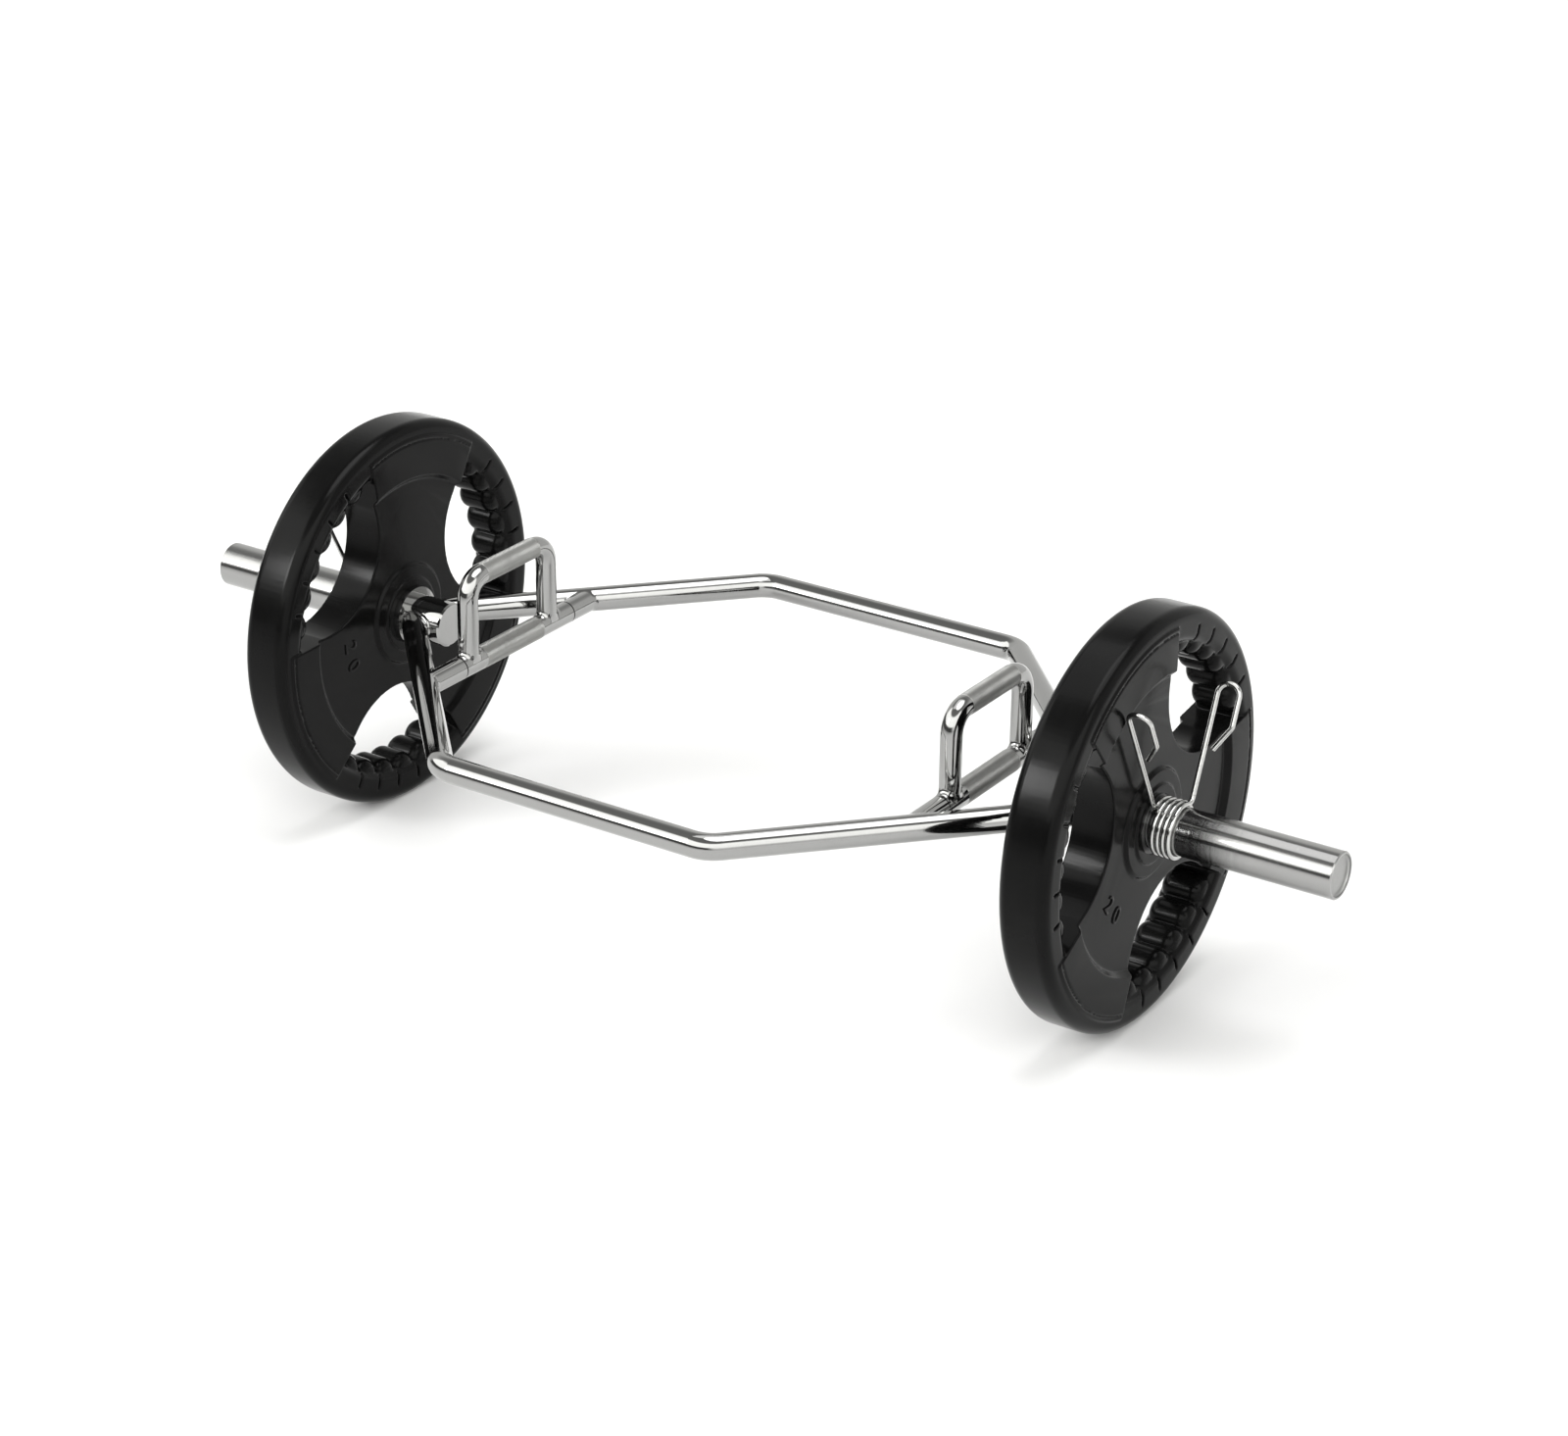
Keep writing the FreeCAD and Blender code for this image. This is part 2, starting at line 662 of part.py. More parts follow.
def make_coil(name, side):
    """Wound wire of a spring clip, with the leads that turn up into its two arms."""
    wrap = coil_wrap()
    pieces = math.ceil(wrap / FULL_TURN * QUARTERS_PER_TURN)
    stations = [coil_point(side, wrap * index / pieces) for index in range(pieces + 1)]
    bend = value(cell("base_bend"))
    rise = Vector(0, 0, value(cell("arm_start")))
    inner, inner_turn = arm_base(side, "inner")
    outer, outer_turn = arm_base(side, "outer")
    foot = inner + inner_turn.multVec(rise)
    edges = bent_edges([foot, inner, stations[0][0]], [bend])
    for (start, leave), (end, arrive) in zip(stations, stations[1:]):
        edges.extend(biarc(start, leave, end, arrive))
    edges.extend(bent_edges([stations[-1][0], outer, outer + outer_turn.multVec(rise)], [bend]))
    path = Part.Wire(edges)
    profile = Part.Wire(Part.Circle(foot, inner - foot, value(cell("wire_radius"))).toShape())
    shell = Part.BRepOffsetAPI.MakePipeShell(path)
    shell.add(profile)
    shell.build()
    shell.makeSolid()
    item = add_object("Part::Feature", f"{name}_clip_coil")
    item.Shape = shell.shape()
    print(item.Label, "least gap of the wire to itself in mm", round(least_gap(path), 2))
    return item


def make_arm(name, side, place, gap):
    """One arm of a spring clip with its hook, starting where the coil's lead ends."""
    body = add_object("PartDesign::Body", f"{name}_clip_{place}_arm")
    profile = add_sketch(body, "XY_Plane", f"{name}_{place}_arm_profile")
    draw_circle(profile, "0", "0", cell("wire_radius"))
    path = add_sketch(body, "XZ_Plane", f"{name}_{place}_arm_path")
    start = f"sizes.arm_start + {gap}"
    top = f"sizes.{place}_arm_length - ({start})"
    drop = f"{top} - sizes.hook_leg"
    tail = mirrored(side, "sizes.hook_width - sizes.hook_tail_run")
    width = mirrored(side, cell("hook_width"))
    corners = [("0", "0"), ("0", top), (width, top), (width, drop), (tail, f"{drop} - sizes.hook_tail_drop")]
    draw_path(path, corners, [cell("hook_bend"), cell("hook_bend"), cell("hook_tail_bend")])
    add_pipe(body, profile, path)
    base, turn = arm_base(side, place)
    body.Placement = Placement(base + turn.multVec(Vector(0, 0, value(start))), turn)
    return body


def make_clip(name, side):
    """Coil and arms of a spring clip; the outer arm stands clear of the coil, which winds up under it."""
    return [
        make_coil(name, side),
        make_arm(name, side, "inner", "0"),
        make_arm(name, side, "outer", cell("arm_gap")),
    ]


def make_frame():
    """Frame tubes, sleeves, rails and raised handles."""
    nodes = []
    bars = {}
    seats = []
    beyond = f"{PLATE_SEAT} + sizes.flange_radius"
    for name, side in SIDES.items():
        nodes.extend([make_root(name, side), make_sleeve(name, side)])
        nodes.extend([make_flange(name, side), make_plug(name, side)])
        label = f"{name}_root_seat"
        seats.append(bar_cylinder(label, side, ROOT_INNER, FLANGE_INNER, cell("sleeve_radius")))
        label = f"{name}_flange_seat"
        seats.append(bar_cylinder(label, side, FLANGE_INNER, beyond, cell("flange_radius")))
    seat = fuse("sleeve_seats", seats)
    for place, facing in FACINGS.items():
        bars[place] = frame_bar(f"{place}_frame_bar", facing, cell("tube_radius"))
        bore = frame_bar(f"{place}_frame_bore", facing, "sizes.tube_radius - sizes.tube_wall")
        hollow = fuse(f"{place}_frame_cutter", [bore, seat])
        nodes.append(cut(f"{place}_frame_tube", bars[place], hollow))
    for name, side in SIDES.items():
        rail = make_rail(name, side, bars)
        nodes.extend(rail)
        nodes.append(make_handle(name, side, rail[0]))
    return nodes


def save(nodes):
    """Check every object and write each sub-part to its own file."""
    doc.recompute()
    for item in doc.Objects:
        if "Invalid" in item.State or "Error" in item.State:
            raise RuntimeError(f"{item.Label} is not built: {item.State}")
    os.makedirs("parts", exist_ok=True)
    for item in nodes:
        shape = item.Shape
        if shape.isNull() or not shape.isValid() or shape.Volume <= 0:
            raise RuntimeError(f"{item.Label} has no valid solid")
        shape.exportStep(f"parts/{item.Label}.step")
        print(item.Label, "solids", len(shape.Solids), "volume cm3", round(shape.Volume / 1000, 1))


nodes = make_frame()
for name, side in SIDES.items():
    nodes.extend(make_plate(name, side))
    nodes.extend(make_clip(name, side))
save(nodes)
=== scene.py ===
import math

import bmesh
import bpy
from bpy.props import FloatProperty, FloatVectorProperty, IntProperty, PointerProperty, StringProperty
from mathutils import Matrix, Vector


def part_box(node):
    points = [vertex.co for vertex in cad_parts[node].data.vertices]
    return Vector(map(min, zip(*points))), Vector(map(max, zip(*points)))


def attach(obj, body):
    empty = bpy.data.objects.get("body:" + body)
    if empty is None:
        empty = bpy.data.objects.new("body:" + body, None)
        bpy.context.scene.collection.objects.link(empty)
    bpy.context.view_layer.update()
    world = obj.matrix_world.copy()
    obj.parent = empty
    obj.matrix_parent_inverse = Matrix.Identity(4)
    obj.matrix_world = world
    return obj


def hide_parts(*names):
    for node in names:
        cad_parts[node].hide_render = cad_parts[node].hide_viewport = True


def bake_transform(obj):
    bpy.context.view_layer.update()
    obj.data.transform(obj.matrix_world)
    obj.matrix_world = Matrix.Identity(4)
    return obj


bl_info = {
    "name": "Hex Trap Bar",
    "version": (1, 0, 0),
    "blender": (4, 5, 0),
    "location": "View3D > Sidebar > Trap Bar",
    "description": "Dresses a hex trap bar with grip plates, spring clips, knurled grips, welds and finishes",
    "category": "Object",
}

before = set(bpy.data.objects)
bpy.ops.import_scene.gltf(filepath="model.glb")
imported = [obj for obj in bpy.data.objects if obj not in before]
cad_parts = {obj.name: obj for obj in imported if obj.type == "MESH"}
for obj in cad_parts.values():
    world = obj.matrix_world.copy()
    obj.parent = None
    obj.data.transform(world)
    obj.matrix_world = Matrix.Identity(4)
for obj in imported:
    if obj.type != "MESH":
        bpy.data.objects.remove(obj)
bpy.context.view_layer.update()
SIDES = {"left": -1, "right": 1}
ENDS = {"front": -1, "rear": 1}
WINDOW_COUNT = 3
FULL_TURN = 2 * math.pi
QUARTER_TURN = math.pi / 2
TOUCHING = 1e-6


def middle(node):
    """Middle of a node's box."""
    low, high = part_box(node)
    return (low + high) / 2


def half_size(node):
    """Half the extents of a node's box."""
    low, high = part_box(node)
    return (high - low) / 2


PLATE_HALF = half_size("right_plate_rubber")
BUSH_HALF = half_size("right_plate_bush")
SLEEVE_HALF = half_size("right_sleeve")
AXIS_HEIGHT = middle("right_plate_rubber").z

# Corners of the frame tubes' centre lines, from the middle of the bar.
HEX_VERTEX = 0.4446
HEX_CORNER = 0.1649
HEX_HALF_WIDTH = 0.3031

# How finely round forms are divided.
DISC_STEPS = 180
RIM_STEPS = 200
WINDOW_STEPS = 40
RIM_ROUND_STEPS = 10
ROLL_SIDES = 48
ROLL_ROUND_STEPS = 8
SLIT_ROUND_STEPS = 4
WIRE_SIDES = 20
COIL_TURN_STEPS = 44
LEAD_STEPS = 8
HOOK_STEPS = 10
TAIL_STEPS = 6
WIRE_END_STEPS = 3
CAP_STEPS = 96
CAP_ROUND_STEPS = 8
SEAM_STEPS = 64
WELD_STEPS = 64
WELD_CURVE_STEPS = 10

# The moulding of the rubber, and shares of a piece's own sizes.
MELT_FACTOR = 0.5
MELT_PASSES = 3
JACKET_TRIANGLES = 185000
SLIT_ROUND = 0.48
MARK_BEVEL = 0.25
WIRE_END_ROUND = 0.35
KNURL_END = 0.97
WELD_ROOT = 0.25
WELD_HOLLOW = 0.12

# Edges sharper than these stay sharp.
MARK_EDGE = math.radians(35)
WIRE_EDGE = math.radians(50)
TURNED_EDGE = math.radians(40)
WELD_EDGE = math.radians(60)

# Brightness of the studio's walls over the height of the direction, from level to overhead.
FRONT_LEVELS = ((0.0, 0.14), (0.24, 0.10), (0.28, 2.7), (0.72, 2.8), (0.78, 0.35), (1.0, 0.28))
SIDE_LEVELS = ((0.0, 1.0), (0.2, 1.6), (0.28, 2.5), (0.72, 2.7), (0.78, 0.35), (1.0, 0.28))
BACK_LEVELS = ((0.0, 0.92), (0.55, 0.90), (0.68, 0.46), (0.80, 0.32), (1.0, 0.30))
WALL_BLUE = 0.98
SIDE_START = 0.35
SIDE_FULL = 0.6
BACK_BLEND = 0.06

SENSOR_WIDTH = 36.0
CAMERA_RANGE = 200.0


def length_prop(name, description, default):
    return FloatProperty(name=name, description=description, default=default, unit="LENGTH")


def angle_prop(name, description, degrees):
    return FloatProperty(name=name, description=description, default=math.radians(degrees), subtype="ANGLE")


def vector_prop(name, description, default, subtype):
    return FloatVectorProperty(name=name, description=description, default=default, subtype=subtype)


def colour_prop(name, description, default):
    return vector_prop(name, description, default, "COLOR")


def way_prop(name, description, default):
    return vector_prop(name, description, default, "DIRECTION")


def place_prop(name, description, default):
    return vector_prop(name, description, default, "TRANSLATION")


class PlateSizes(bpy.types.PropertyGroup):
    """Sizes of the moulded rubber on the grip plates."""

    collar: length_prop("Collar radius", "Raised ring next to the bore", 0.042)
    boss: length_prop("Boss radius", "Top edge of the hub boss", 0.056)
    boss_foot: length_prop("Boss foot radius", "Where the boss meets the web", 0.059)
    boss_half: length_prop("Boss half thickness", "Boss face from the mid-plane", 0.0275)
    web_half: length_prop("Web half thickness", "Sunk web face from the mid-plane", 0.0235)
    fan_foot: length_prop("Fan foot radius", "Where the web starts to rise to the fan", 0.154)
    fan: length_prop("Fan radius", "Inner edge of the raised fan", 0.160)
    groove: length_prop("Groove radius", "Middle of the groove inside the fan's lip", 0.2003)
    groove_width: length_prop("Groove width", "Width of the lip groove", 0.0026)
    groove_depth: length_prop("Groove depth", "Depth of the lip groove", 0.0020)
    lip: length_prop("Lip radius", "Outer edge of the raised fan", 0.2045)
    lip_foot: length_prop("Lip foot radius", "Where the lip meets the rim", 0.2062)
    rim_half: length_prop("Rim half thickness", "Rim face from the mid-plane", 0.0280)
    rim_inner: length_prop("Rim inner radius", "Rim bar under the finger rolls", 0.1830)
    rim_shoulder: length_prop("Rim shoulder", "Round on the tread's edges", 0.012)
    rim_inner_round: length_prop("Rim inner round", "Round on the rim's inner edges", 0.013)
    window_centre: length_prop("Window centre", "Centre of the window's arc from the axis", 0.1738)
    window_radius: length_prop("Window radius", "Radius of the window's arc", 0.0908)
    window_reach: length_prop("Window reach", "Outer end of the window's flanks from the axis", 0.277)
    window_flare: angle_prop("Window flare", "Half angle of the window's outer end", 35.65)
    roll_radius: length_prop("Roll radius", "Radius of a finger roll", 0.0185)
    roll_centre: length_prop("Roll centre", "Roll's own axis from the plate's axis", 0.1897)
    roll_width: length_prop("Roll width", "Length of a finger roll", 0.0482)
    roll_round: length_prop("Roll end round", "Round on the ends of a roll", 0.0125)
    roll_pitch: angle_prop("Roll pitch", "Angle between finger rolls", 10.3)
    roll_count: IntProperty(name="Rolls per window", description="Finger rolls in one hand window", default=6)
    slit_inner: length_prop("Slit start", "Inner end of a side slit from the axis", 0.172)
    slit_outer: length_prop("Slit end", "Outer end of a side slit from the axis", 0.2046)
    slit_width: length_prop("Slit width", "Width of a side slit", 0.0030)
    slit_depth: length_prop("Slit depth", "Depth of a side slit", 0.0042)
    voxel: length_prop("Moulding voxel", "Cell size that rounds the moulded edges", 0.0011)
    left_turn: angle_prop("Left plate angle", "First window of the left plate above the back", 21.5)
    right_turn: angle_prop("Right plate angle", "First window of the right plate above the back", 49.0)
    mark_text: StringProperty(name="Weight mark", description="Plain number on each plate", default="20")
    mark_height: length_prop("Mark height", "Letter size of the weight mark", 0.026)
    mark_relief: length_prop("Mark relief", "How far the mark stands out", 0.0010)
    mark_radius: length_prop("Mark radius", "Middle of the mark from the axis", 0.102)
    mark_pitch: angle_prop("Mark pitch", "Angle between the digits of a mark", 14.0)
    left_mark: angle_prop("Left mark angle", "Middle of the left plate's mark above the back", -169.2)
    right_mark: angle_prop("Right mark angle", "Middle of the right plate's mark above the back", -138.2)


class ClipSizes(bpy.types.PropertyGroup):
    """Sizes of the spring clips' coils and arms."""

    wire: length_prop("Wire radius", "Half the wire's thickness", 0.00265)
    coil: length_prop("Coil radius", "Wire centre from the sleeve's axis", 0.02835)
    start: length_prop("Coil start", "First wire centre from the bar's middle", 0.5082)
    pitch: length_prop("Coil pitch", "Advance of the wire per turn", 0.006)
    turns: IntProperty(name="Turns", description="Whole turns of the coil", default=4)
    inner_leave: angle_prop("Inner leave angle", "Where the inner lead leaves the coil", 108.2)
    outer_leave: angle_prop("Outer leave angle", "Where the outer lead leaves the coil", 77.3)
    lead: length_prop("Lead", "Straight run from the coil to an arm's corner", 0.0083)
    bend: length_prop("Bend radius", "Bend from a lead into an arm", 0.0065)
    arm_start: length_prop("Arm start", "From an arm's corner to the arm's own piece", 0.008)
    inner_tilt: angle_prop("Inner arm tilt", "Lean of the inner arm to the front", 28.0)
    outer_tilt: angle_prop("Outer arm tilt", "Lean of the outer arm to the back", 22.3)
    inner_length: length_prop("Inner arm length", "From the corner to the top of the hook", 0.147)
    outer_length: length_prop("Outer arm length", "From the corner to the top of the hook", 0.1245)
    outer_gap: length_prop("Outer arm gap", "Clear of the coil's lead", 0.0003)
    hook_width: length_prop("Hook width", "Between the legs of a hook", 0.024)
    hook_bend: length_prop("Hook bend", "Bends over the top of a hook", 0.0116)
    hook_leg: length_prop("Hook leg", "From the top of a hook to its tail", 0.042)
    tail_drop: length_prop("Tail drop", "Fall of a hook's tail", 0.026)
    tail_run: length_prop("Tail run", "How far a tail turns back in", 0.015)
    tail_bend: length_prop("Tail bend", "Bend into a tail", 0.008)


class GripSizes(bpy.types.PropertyGroup):
    """Sizes of the knurled bands, the joints and the welds."""

    diamond_width: length_prop("Diamond width", "Knurl diamond round the bar", 0.0018)
    diamond_length: length_prop("Diamond length", "Knurl diamond along the bar", 0.0022)
    diamond_height: length_prop("Diamond height", "Height of a knurl point", 0.00050)
    low_front_gap: length_prop("Low grip front gap", "Plain bar behind the front foot", 0.0195)
    low_rear_gap: length_prop("Low grip rear gap", "Plain bar before the rear foot", 0.0085)
    handle_bend: length_prop("Handle bend", "Centre-line bend of the raised handles", 0.024)
    handle_radius: length_prop("Handle radius", "Bar of the raised handles", 0.0115)
    foot_weld: length_prop("Foot weld", "Flare at a raised handle's foot", 0.006)
    rail_weld: length_prop("Rail weld", "Flare where a rail meets the frame", 0.0032)
    # The seam is drawn as a thin near-black ring: painted shade for the shade in the joint's groove.
    seam_width: length_prop("Seam width", "Open joint between a low grip and its rail", 0.0018)
    seam_relief: length_prop("Seam relief", "How far a joint's edge stands out", 0.00006)
    root_weld: length_prop("Root weld", "Flare where a frame tube meets a sleeve root", 0.005)


class CapSizes(bpy.types.PropertyGroup):
    """Sizes of the turned caps in the sleeves' open ends."""

    radius: length_prop("Cap radius", "Outer edge of a cap", 0.0219)
    depth: length_prop("Cap depth", "Length of a cap along the sleeve", 0.0080)
    inset: length_prop("Cap inset", "Cap's flat face from the sleeve's end", 0.0032)
    rise: length_prop("Cap rise", "Cap's outer edge from the sleeve's end", 0.0008)


class FinishColours(bpy.types.PropertyGroup):
    """Colours of the finishes."""

    chrome: colour_prop("Chrome", "Polished plating", (0.35, 0.35, 0.345))
    knurl: colour_prop("Knurl", "Plated knurl", (0.30, 0.30, 0.29))
    wire: colour_prop("Spring wire", "Plated wire", (0.54, 0.54, 0.53))
    rubber: colour_prop("Rubber", "Black moulded rubber", (0.003, 0.003, 0.003))
    dust: colour_prop("Dust", "Pale bloom on the rubber", (0.006, 0.006, 0.0059))
    iron: colour_prop("Cast iron", "Core casting", (0.045, 0.043, 0.042))
    bush: colour_prop("Bush", "Blackened steel bush", (0.10, 0.10, 0.10))
    plug: colour_prop("Plug", "Turned steel plug", (0.40, 0.40, 0.395))


class StageSettings(bpy.types.PropertyGroup):
    """Floor, light and camera."""

    floor_size: length_prop("Floor size", "Side of the pale floor", 60.0)
    floor: colour_prop("Floor colour", "Pale floor", (0.80, 0.80, 0.80))
    # The far colour, its way, edge and fade paint shade onto the floor away from the lights.
    floor_far: colour_prop("Far floor colour", "Floor far from the lights", (0.45, 0.45, 0.45))
    floor_way: way_prop("Floor way", "Side on which the floor dims", (-0.50, -0.866, 0.0))
    floor_edge: length_prop("Lit floor edge", "Where the lit floor starts to dim, from the bar", 1.03)
    floor_fade: length_prop("Lit floor fade", "Length over which the floor dims", 2.6)
    overhead_power: FloatProperty(name="Overhead power", description="Strength of the overhead light", default=1.25)
    overhead_spread: angle_prop("Overhead spread", "Angle that the overhead light fills", 40.0)
    overhead_way: way_prop("Overhead way", "Where the overhead light stands", (0.12, 0.10, 0.99))
    box_power: FloatProperty(name="Soft box power", description="Strength of the soft box over the bar", default=5.0)
    box_size: FloatVectorProperty(name="Soft box size", description="Sides of the soft box", size=2,
                                  subtype="XYZ", default=(1.1, 1.0))
    box_place: place_prop("Soft box place", "Middle of the soft box", (0.05, 0.15, 1.6))
    key_power: FloatProperty(name="Key power", description="Strength of the key light", default=0.95)
    key_spread: angle_prop("Key spread", "Angle that the key light fills", 15.4)
    key_way: way_prop("Key way", "Where the key light stands", (-0.50, -0.73, 0.47))
    lens: FloatProperty(name="Lens", description="Focal length on a 36 mm sensor", default=88.29, unit="CAMERA")
    camera_place: place_prop("Camera place", "Where the camera stands", (2.0858, -3.1070, 1.8860))
    camera_right: way_prop("Camera right", "The picture's right", (0.8341, 0.5515, 0.0125))
    camera_ahead: way_prop("Camera ahead", "Where the camera looks", (-0.4990, 0.7640, -0.4091))


def deselect():
    """Leave edit mode and deselect all objects."""
    if bpy.context.mode != "OBJECT":
        bpy.ops.object.mode_set(mode="OBJECT")
    bpy.ops.object.select_all(action="DESELECT")


def activate(item):
    """Make one object the only selected and active one."""
    deselect()
    item.select_set(True)
    bpy.context.view_layer.objects.active = item


def newest(name):
    """The object just added, under its name."""
    item = bpy.context.object
    item.name = name
    return item


def apply_place():
    """Put the active object's place, turn and scale into its mesh."""
    bpy.ops.object.transform_apply(location=True, rotation=True, scale=True)


def select_whole():
    """Select all of the mesh in edit mode."""
    bpy.ops.mesh.select_all(action="SELECT")


def extrude(step):
    """Extrude what is selected and move it on."""
    bpy.ops.mesh.extrude_region_move(TRANSFORM_OT_translate={"value": step})


def spin(steps, angle, centre=(0, 0, 0), axis=(1, 0, 0)):
    """Sweep what is selected round an axis."""
    bpy.ops.mesh.spin(steps=steps, angle=angle, center=centre, axis=axis)


def edit(item):
    """Go into edit mode on one object with all of it selected."""
    activate(item)
    bpy.ops.object.mode_set(mode="EDIT")
    select_whole()


def done():
    bpy.ops.object.mode_set(mode="OBJECT")


def close_up():
    """Merge doubles of the mesh in edit mode and point its faces outwards."""
    select_whole()
    bpy.ops.mesh.remove_doubles(threshold=TOUCHING)
    bpy.ops.mesh.normals_make_consistent(inside=False)


def pick(item, kind, test):
    """Select the vertices, edges or faces of the mesh in edit mode that pass a test."""
    bpy.ops.mesh.select_all(action="DESELECT")
    bpy.ops.mesh.select_mode(type=kind)
    mesh = bmesh.from_edit_mesh(item.data)
    for part in {"VERT": mesh.verts, "EDGE": mesh.edges, "FACE": mesh.faces}[kind]:
        part.select_set(test(part))
    mesh.select_flush_mode()
    bmesh.update_edit_mesh(item.data)


def first_point(name, place):
    """A new mesh that is one selected point, left in edit mode."""
    deselect()
    bpy.ops.mesh.primitive_plane_add(size=1)
    item = newest(name)
    bpy.ops.object.mode_set(mode="EDIT")
    bpy.ops.mesh.select_mode(type="VERT")
    select_whole()
    bpy.ops.mesh.merge(type="CENTER")
    bpy.ops.transform.translate(value=place)
    return item


def draw_on(start, places):
    """Extrude the selected point through more places."""
    here = Vector(start)
    for place in places:
        extrude(Vector(place) - here)
        here = Vector(place)


def outline_face(name, outline):
    """A face in a plane through X from (along, radius) corners, left in edit mode."""
    places = [(along, radius, 0) for along, radius in outline]
    item = first_point(name, places[0])
    draw_on(places[0], places[1:])
    select_whole()
    bpy.ops.mesh.edge_face_add()
    return item


def turn_outline(steps):
    """Turn the outline of the face in edit mode about X to a closed ring."""
    select_whole()
    bpy.ops.mesh.delete(type="ONLY_FACE")
    select_whole()
    spin(steps, FULL_TURN)
    close_up()
    done()


def turned(name, outline, steps):
    """A ring turned about X from a closed outline of (along, radius) corners."""
    item = outline_face(name, outline)
    turn_outline(steps)
    return item


def use_modifier(item, kind, **values):
    """Add a modifier, set it up and apply it."""
    activate(item)
    bpy.ops.object.modifier_add(type=kind)
    modifier = item.modifiers[-1]
    for name, value in values.items():
        setattr(modifier, name, value)
    bpy.ops.object.modifier_apply(modifier=modifier.name)


def remove(item):
    activate(item)
    bpy.ops.object.delete()


def cut_with(item, tool):
    use_modifier(item, "BOOLEAN", operation="DIFFERENCE", solver="EXACT", object=tool)
    remove(tool)


def join(items):
    activate(items[0])
    for item in items:
        item.select_set(True)
    bpy.ops.object.join()
    return items[0]


def copy_of(item, name):
    """A copy with a mesh of its own."""
    activate(item)
    bpy.ops.object.duplicate(linked=False)
    copy = newest(name)
    copy.data.name = name
    return copy


def settle(item, place=(0, 0, 0), turn=0.0):
    """Turn an object about X, move it and put both into its mesh."""
    activate(item)
    item.rotation_euler = (turn, 0, 0)
    item.location = place
    apply_place()
    return item


def repeat_round(item, angles):
    """Copies of an object turned about X, joined to one."""
    copies = [settle(copy_of(item, item.name), turn=angle) for angle in angles]
    remove(item)
    return join(copies)


def smooth(item, angle=None):
    """Shade an object smooth, all over or only across edges flatter than an angle."""
    activate(item)
    if angle is None:
        bpy.ops.object.shade_smooth()
    else:
        bpy.ops.object.shade_smooth_by_angle(angle=angle)


def wear(item, material, body):
    """Give a finished piece its material and the body that it rides on."""
    item.data.name = item.name
    item.data.materials.clear()
    item.data.materials.append(material)
    if body:
        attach(item, body)


def window_angles():
    """Where the hand windows stand round the plate."""
    return [FULL_TURN * number / WINDOW_COUNT for number in range(WINDOW_COUNT)]


def grip_angles(sizes, count):
    """Angles of so many rolls or slits, spread evenly about the middle of each window."""
    first = -(count - 1) / 2
    return [window + (first + number) * sizes.roll_pitch for window in window_angles() for number in range(count)]


def spoke_disc(sizes):
    """Hub, webs and fans as one turned disc, before the windows are cut."""
    edge = sizes.groove_width / 2
    half = [
        (PLATE_HALF.x, BUSH_HALF.z), (PLATE_HALF.x, sizes.collar),
        (sizes.boss_half, sizes.collar), (sizes.boss_half, sizes.boss),
        (sizes.web_half, sizes.boss_foot), (sizes.web_half, sizes.fan_foot),
        (PLATE_HALF.x, sizes.fan), (PLATE_HALF.x, sizes.groove - edge),
        (PLATE_HALF.x - sizes.groove_depth, sizes.groove - edge / 2),
        (PLATE_HALF.x - sizes.groove_depth, sizes.groove + edge / 2),
        (PLATE_HALF.x, sizes.groove + edge), (PLATE_HALF.x, sizes.lip),
        (sizes.rim_half, sizes.lip_foot),
    ]
    outline = half + [(-along, radius) for along, radius in reversed(half)]
    return turned("spoke_disc", outline, DISC_STEPS)


def window_tool(sizes):
    """Prism of one hand window on +Y: flared flanks and an arc towards the hub."""
    lean = math.asin(sizes.window_radius / sizes.window_centre)
    run = math.sqrt(sizes.window_centre ** 2 - sizes.window_radius ** 2)
    near = Vector((0, run * math.cos(lean), run * math.sin(lean)))
    far = Vector((0, sizes.window_reach * math.cos(sizes.window_flare),
                  sizes.window_reach * math.sin(sizes.window_flare)))
    low_far = Vector((0, far.y, -far.z))
    low_near = Vector((0, near.y, -near.z))
    item = first_point("window_tool", near)
    draw_on(near, [far, low_far, low_near])
    centre = Vector((0, sizes.window_centre, 0))
    start = low_near - centre
    spin(WINDOW_STEPS, 2 * math.acos(-start.y / start.length), centre)
    select_whole()
    bpy.ops.mesh.remove_doubles(threshold=1e-5)
    bpy.ops.mesh.edge_face_add()
    depth = 3 * PLATE_HALF.x
    bpy.ops.transform.translate(value=(-depth / 2, 0, 0))
    extrude((depth, 0, 0))
    close_up()
    done()
    return item


def rim_ring(sizes):
    """Rim bar with rounded edges."""
    outer = PLATE_HALF.z
    item = outline_face("rim_ring", [(sizes.rim_half, sizes.rim_inner), (sizes.rim_half, outer),
                                     (-sizes.rim_half, outer), (-sizes.rim_half, sizes.rim_inner)])
    for radius, size in ((outer, sizes.rim_shoulder), (sizes.rim_inner, sizes.rim_inner_round)):
        pick(item, "VERT", lambda vert: abs(vert.co.y - radius) < TOUCHING)
        bpy.ops.mesh.bevel(offset=size, offset_type="OFFSET", segments=RIM_ROUND_STEPS, affect="VERTICES")
    turn_outline(RIM_STEPS)
    return item


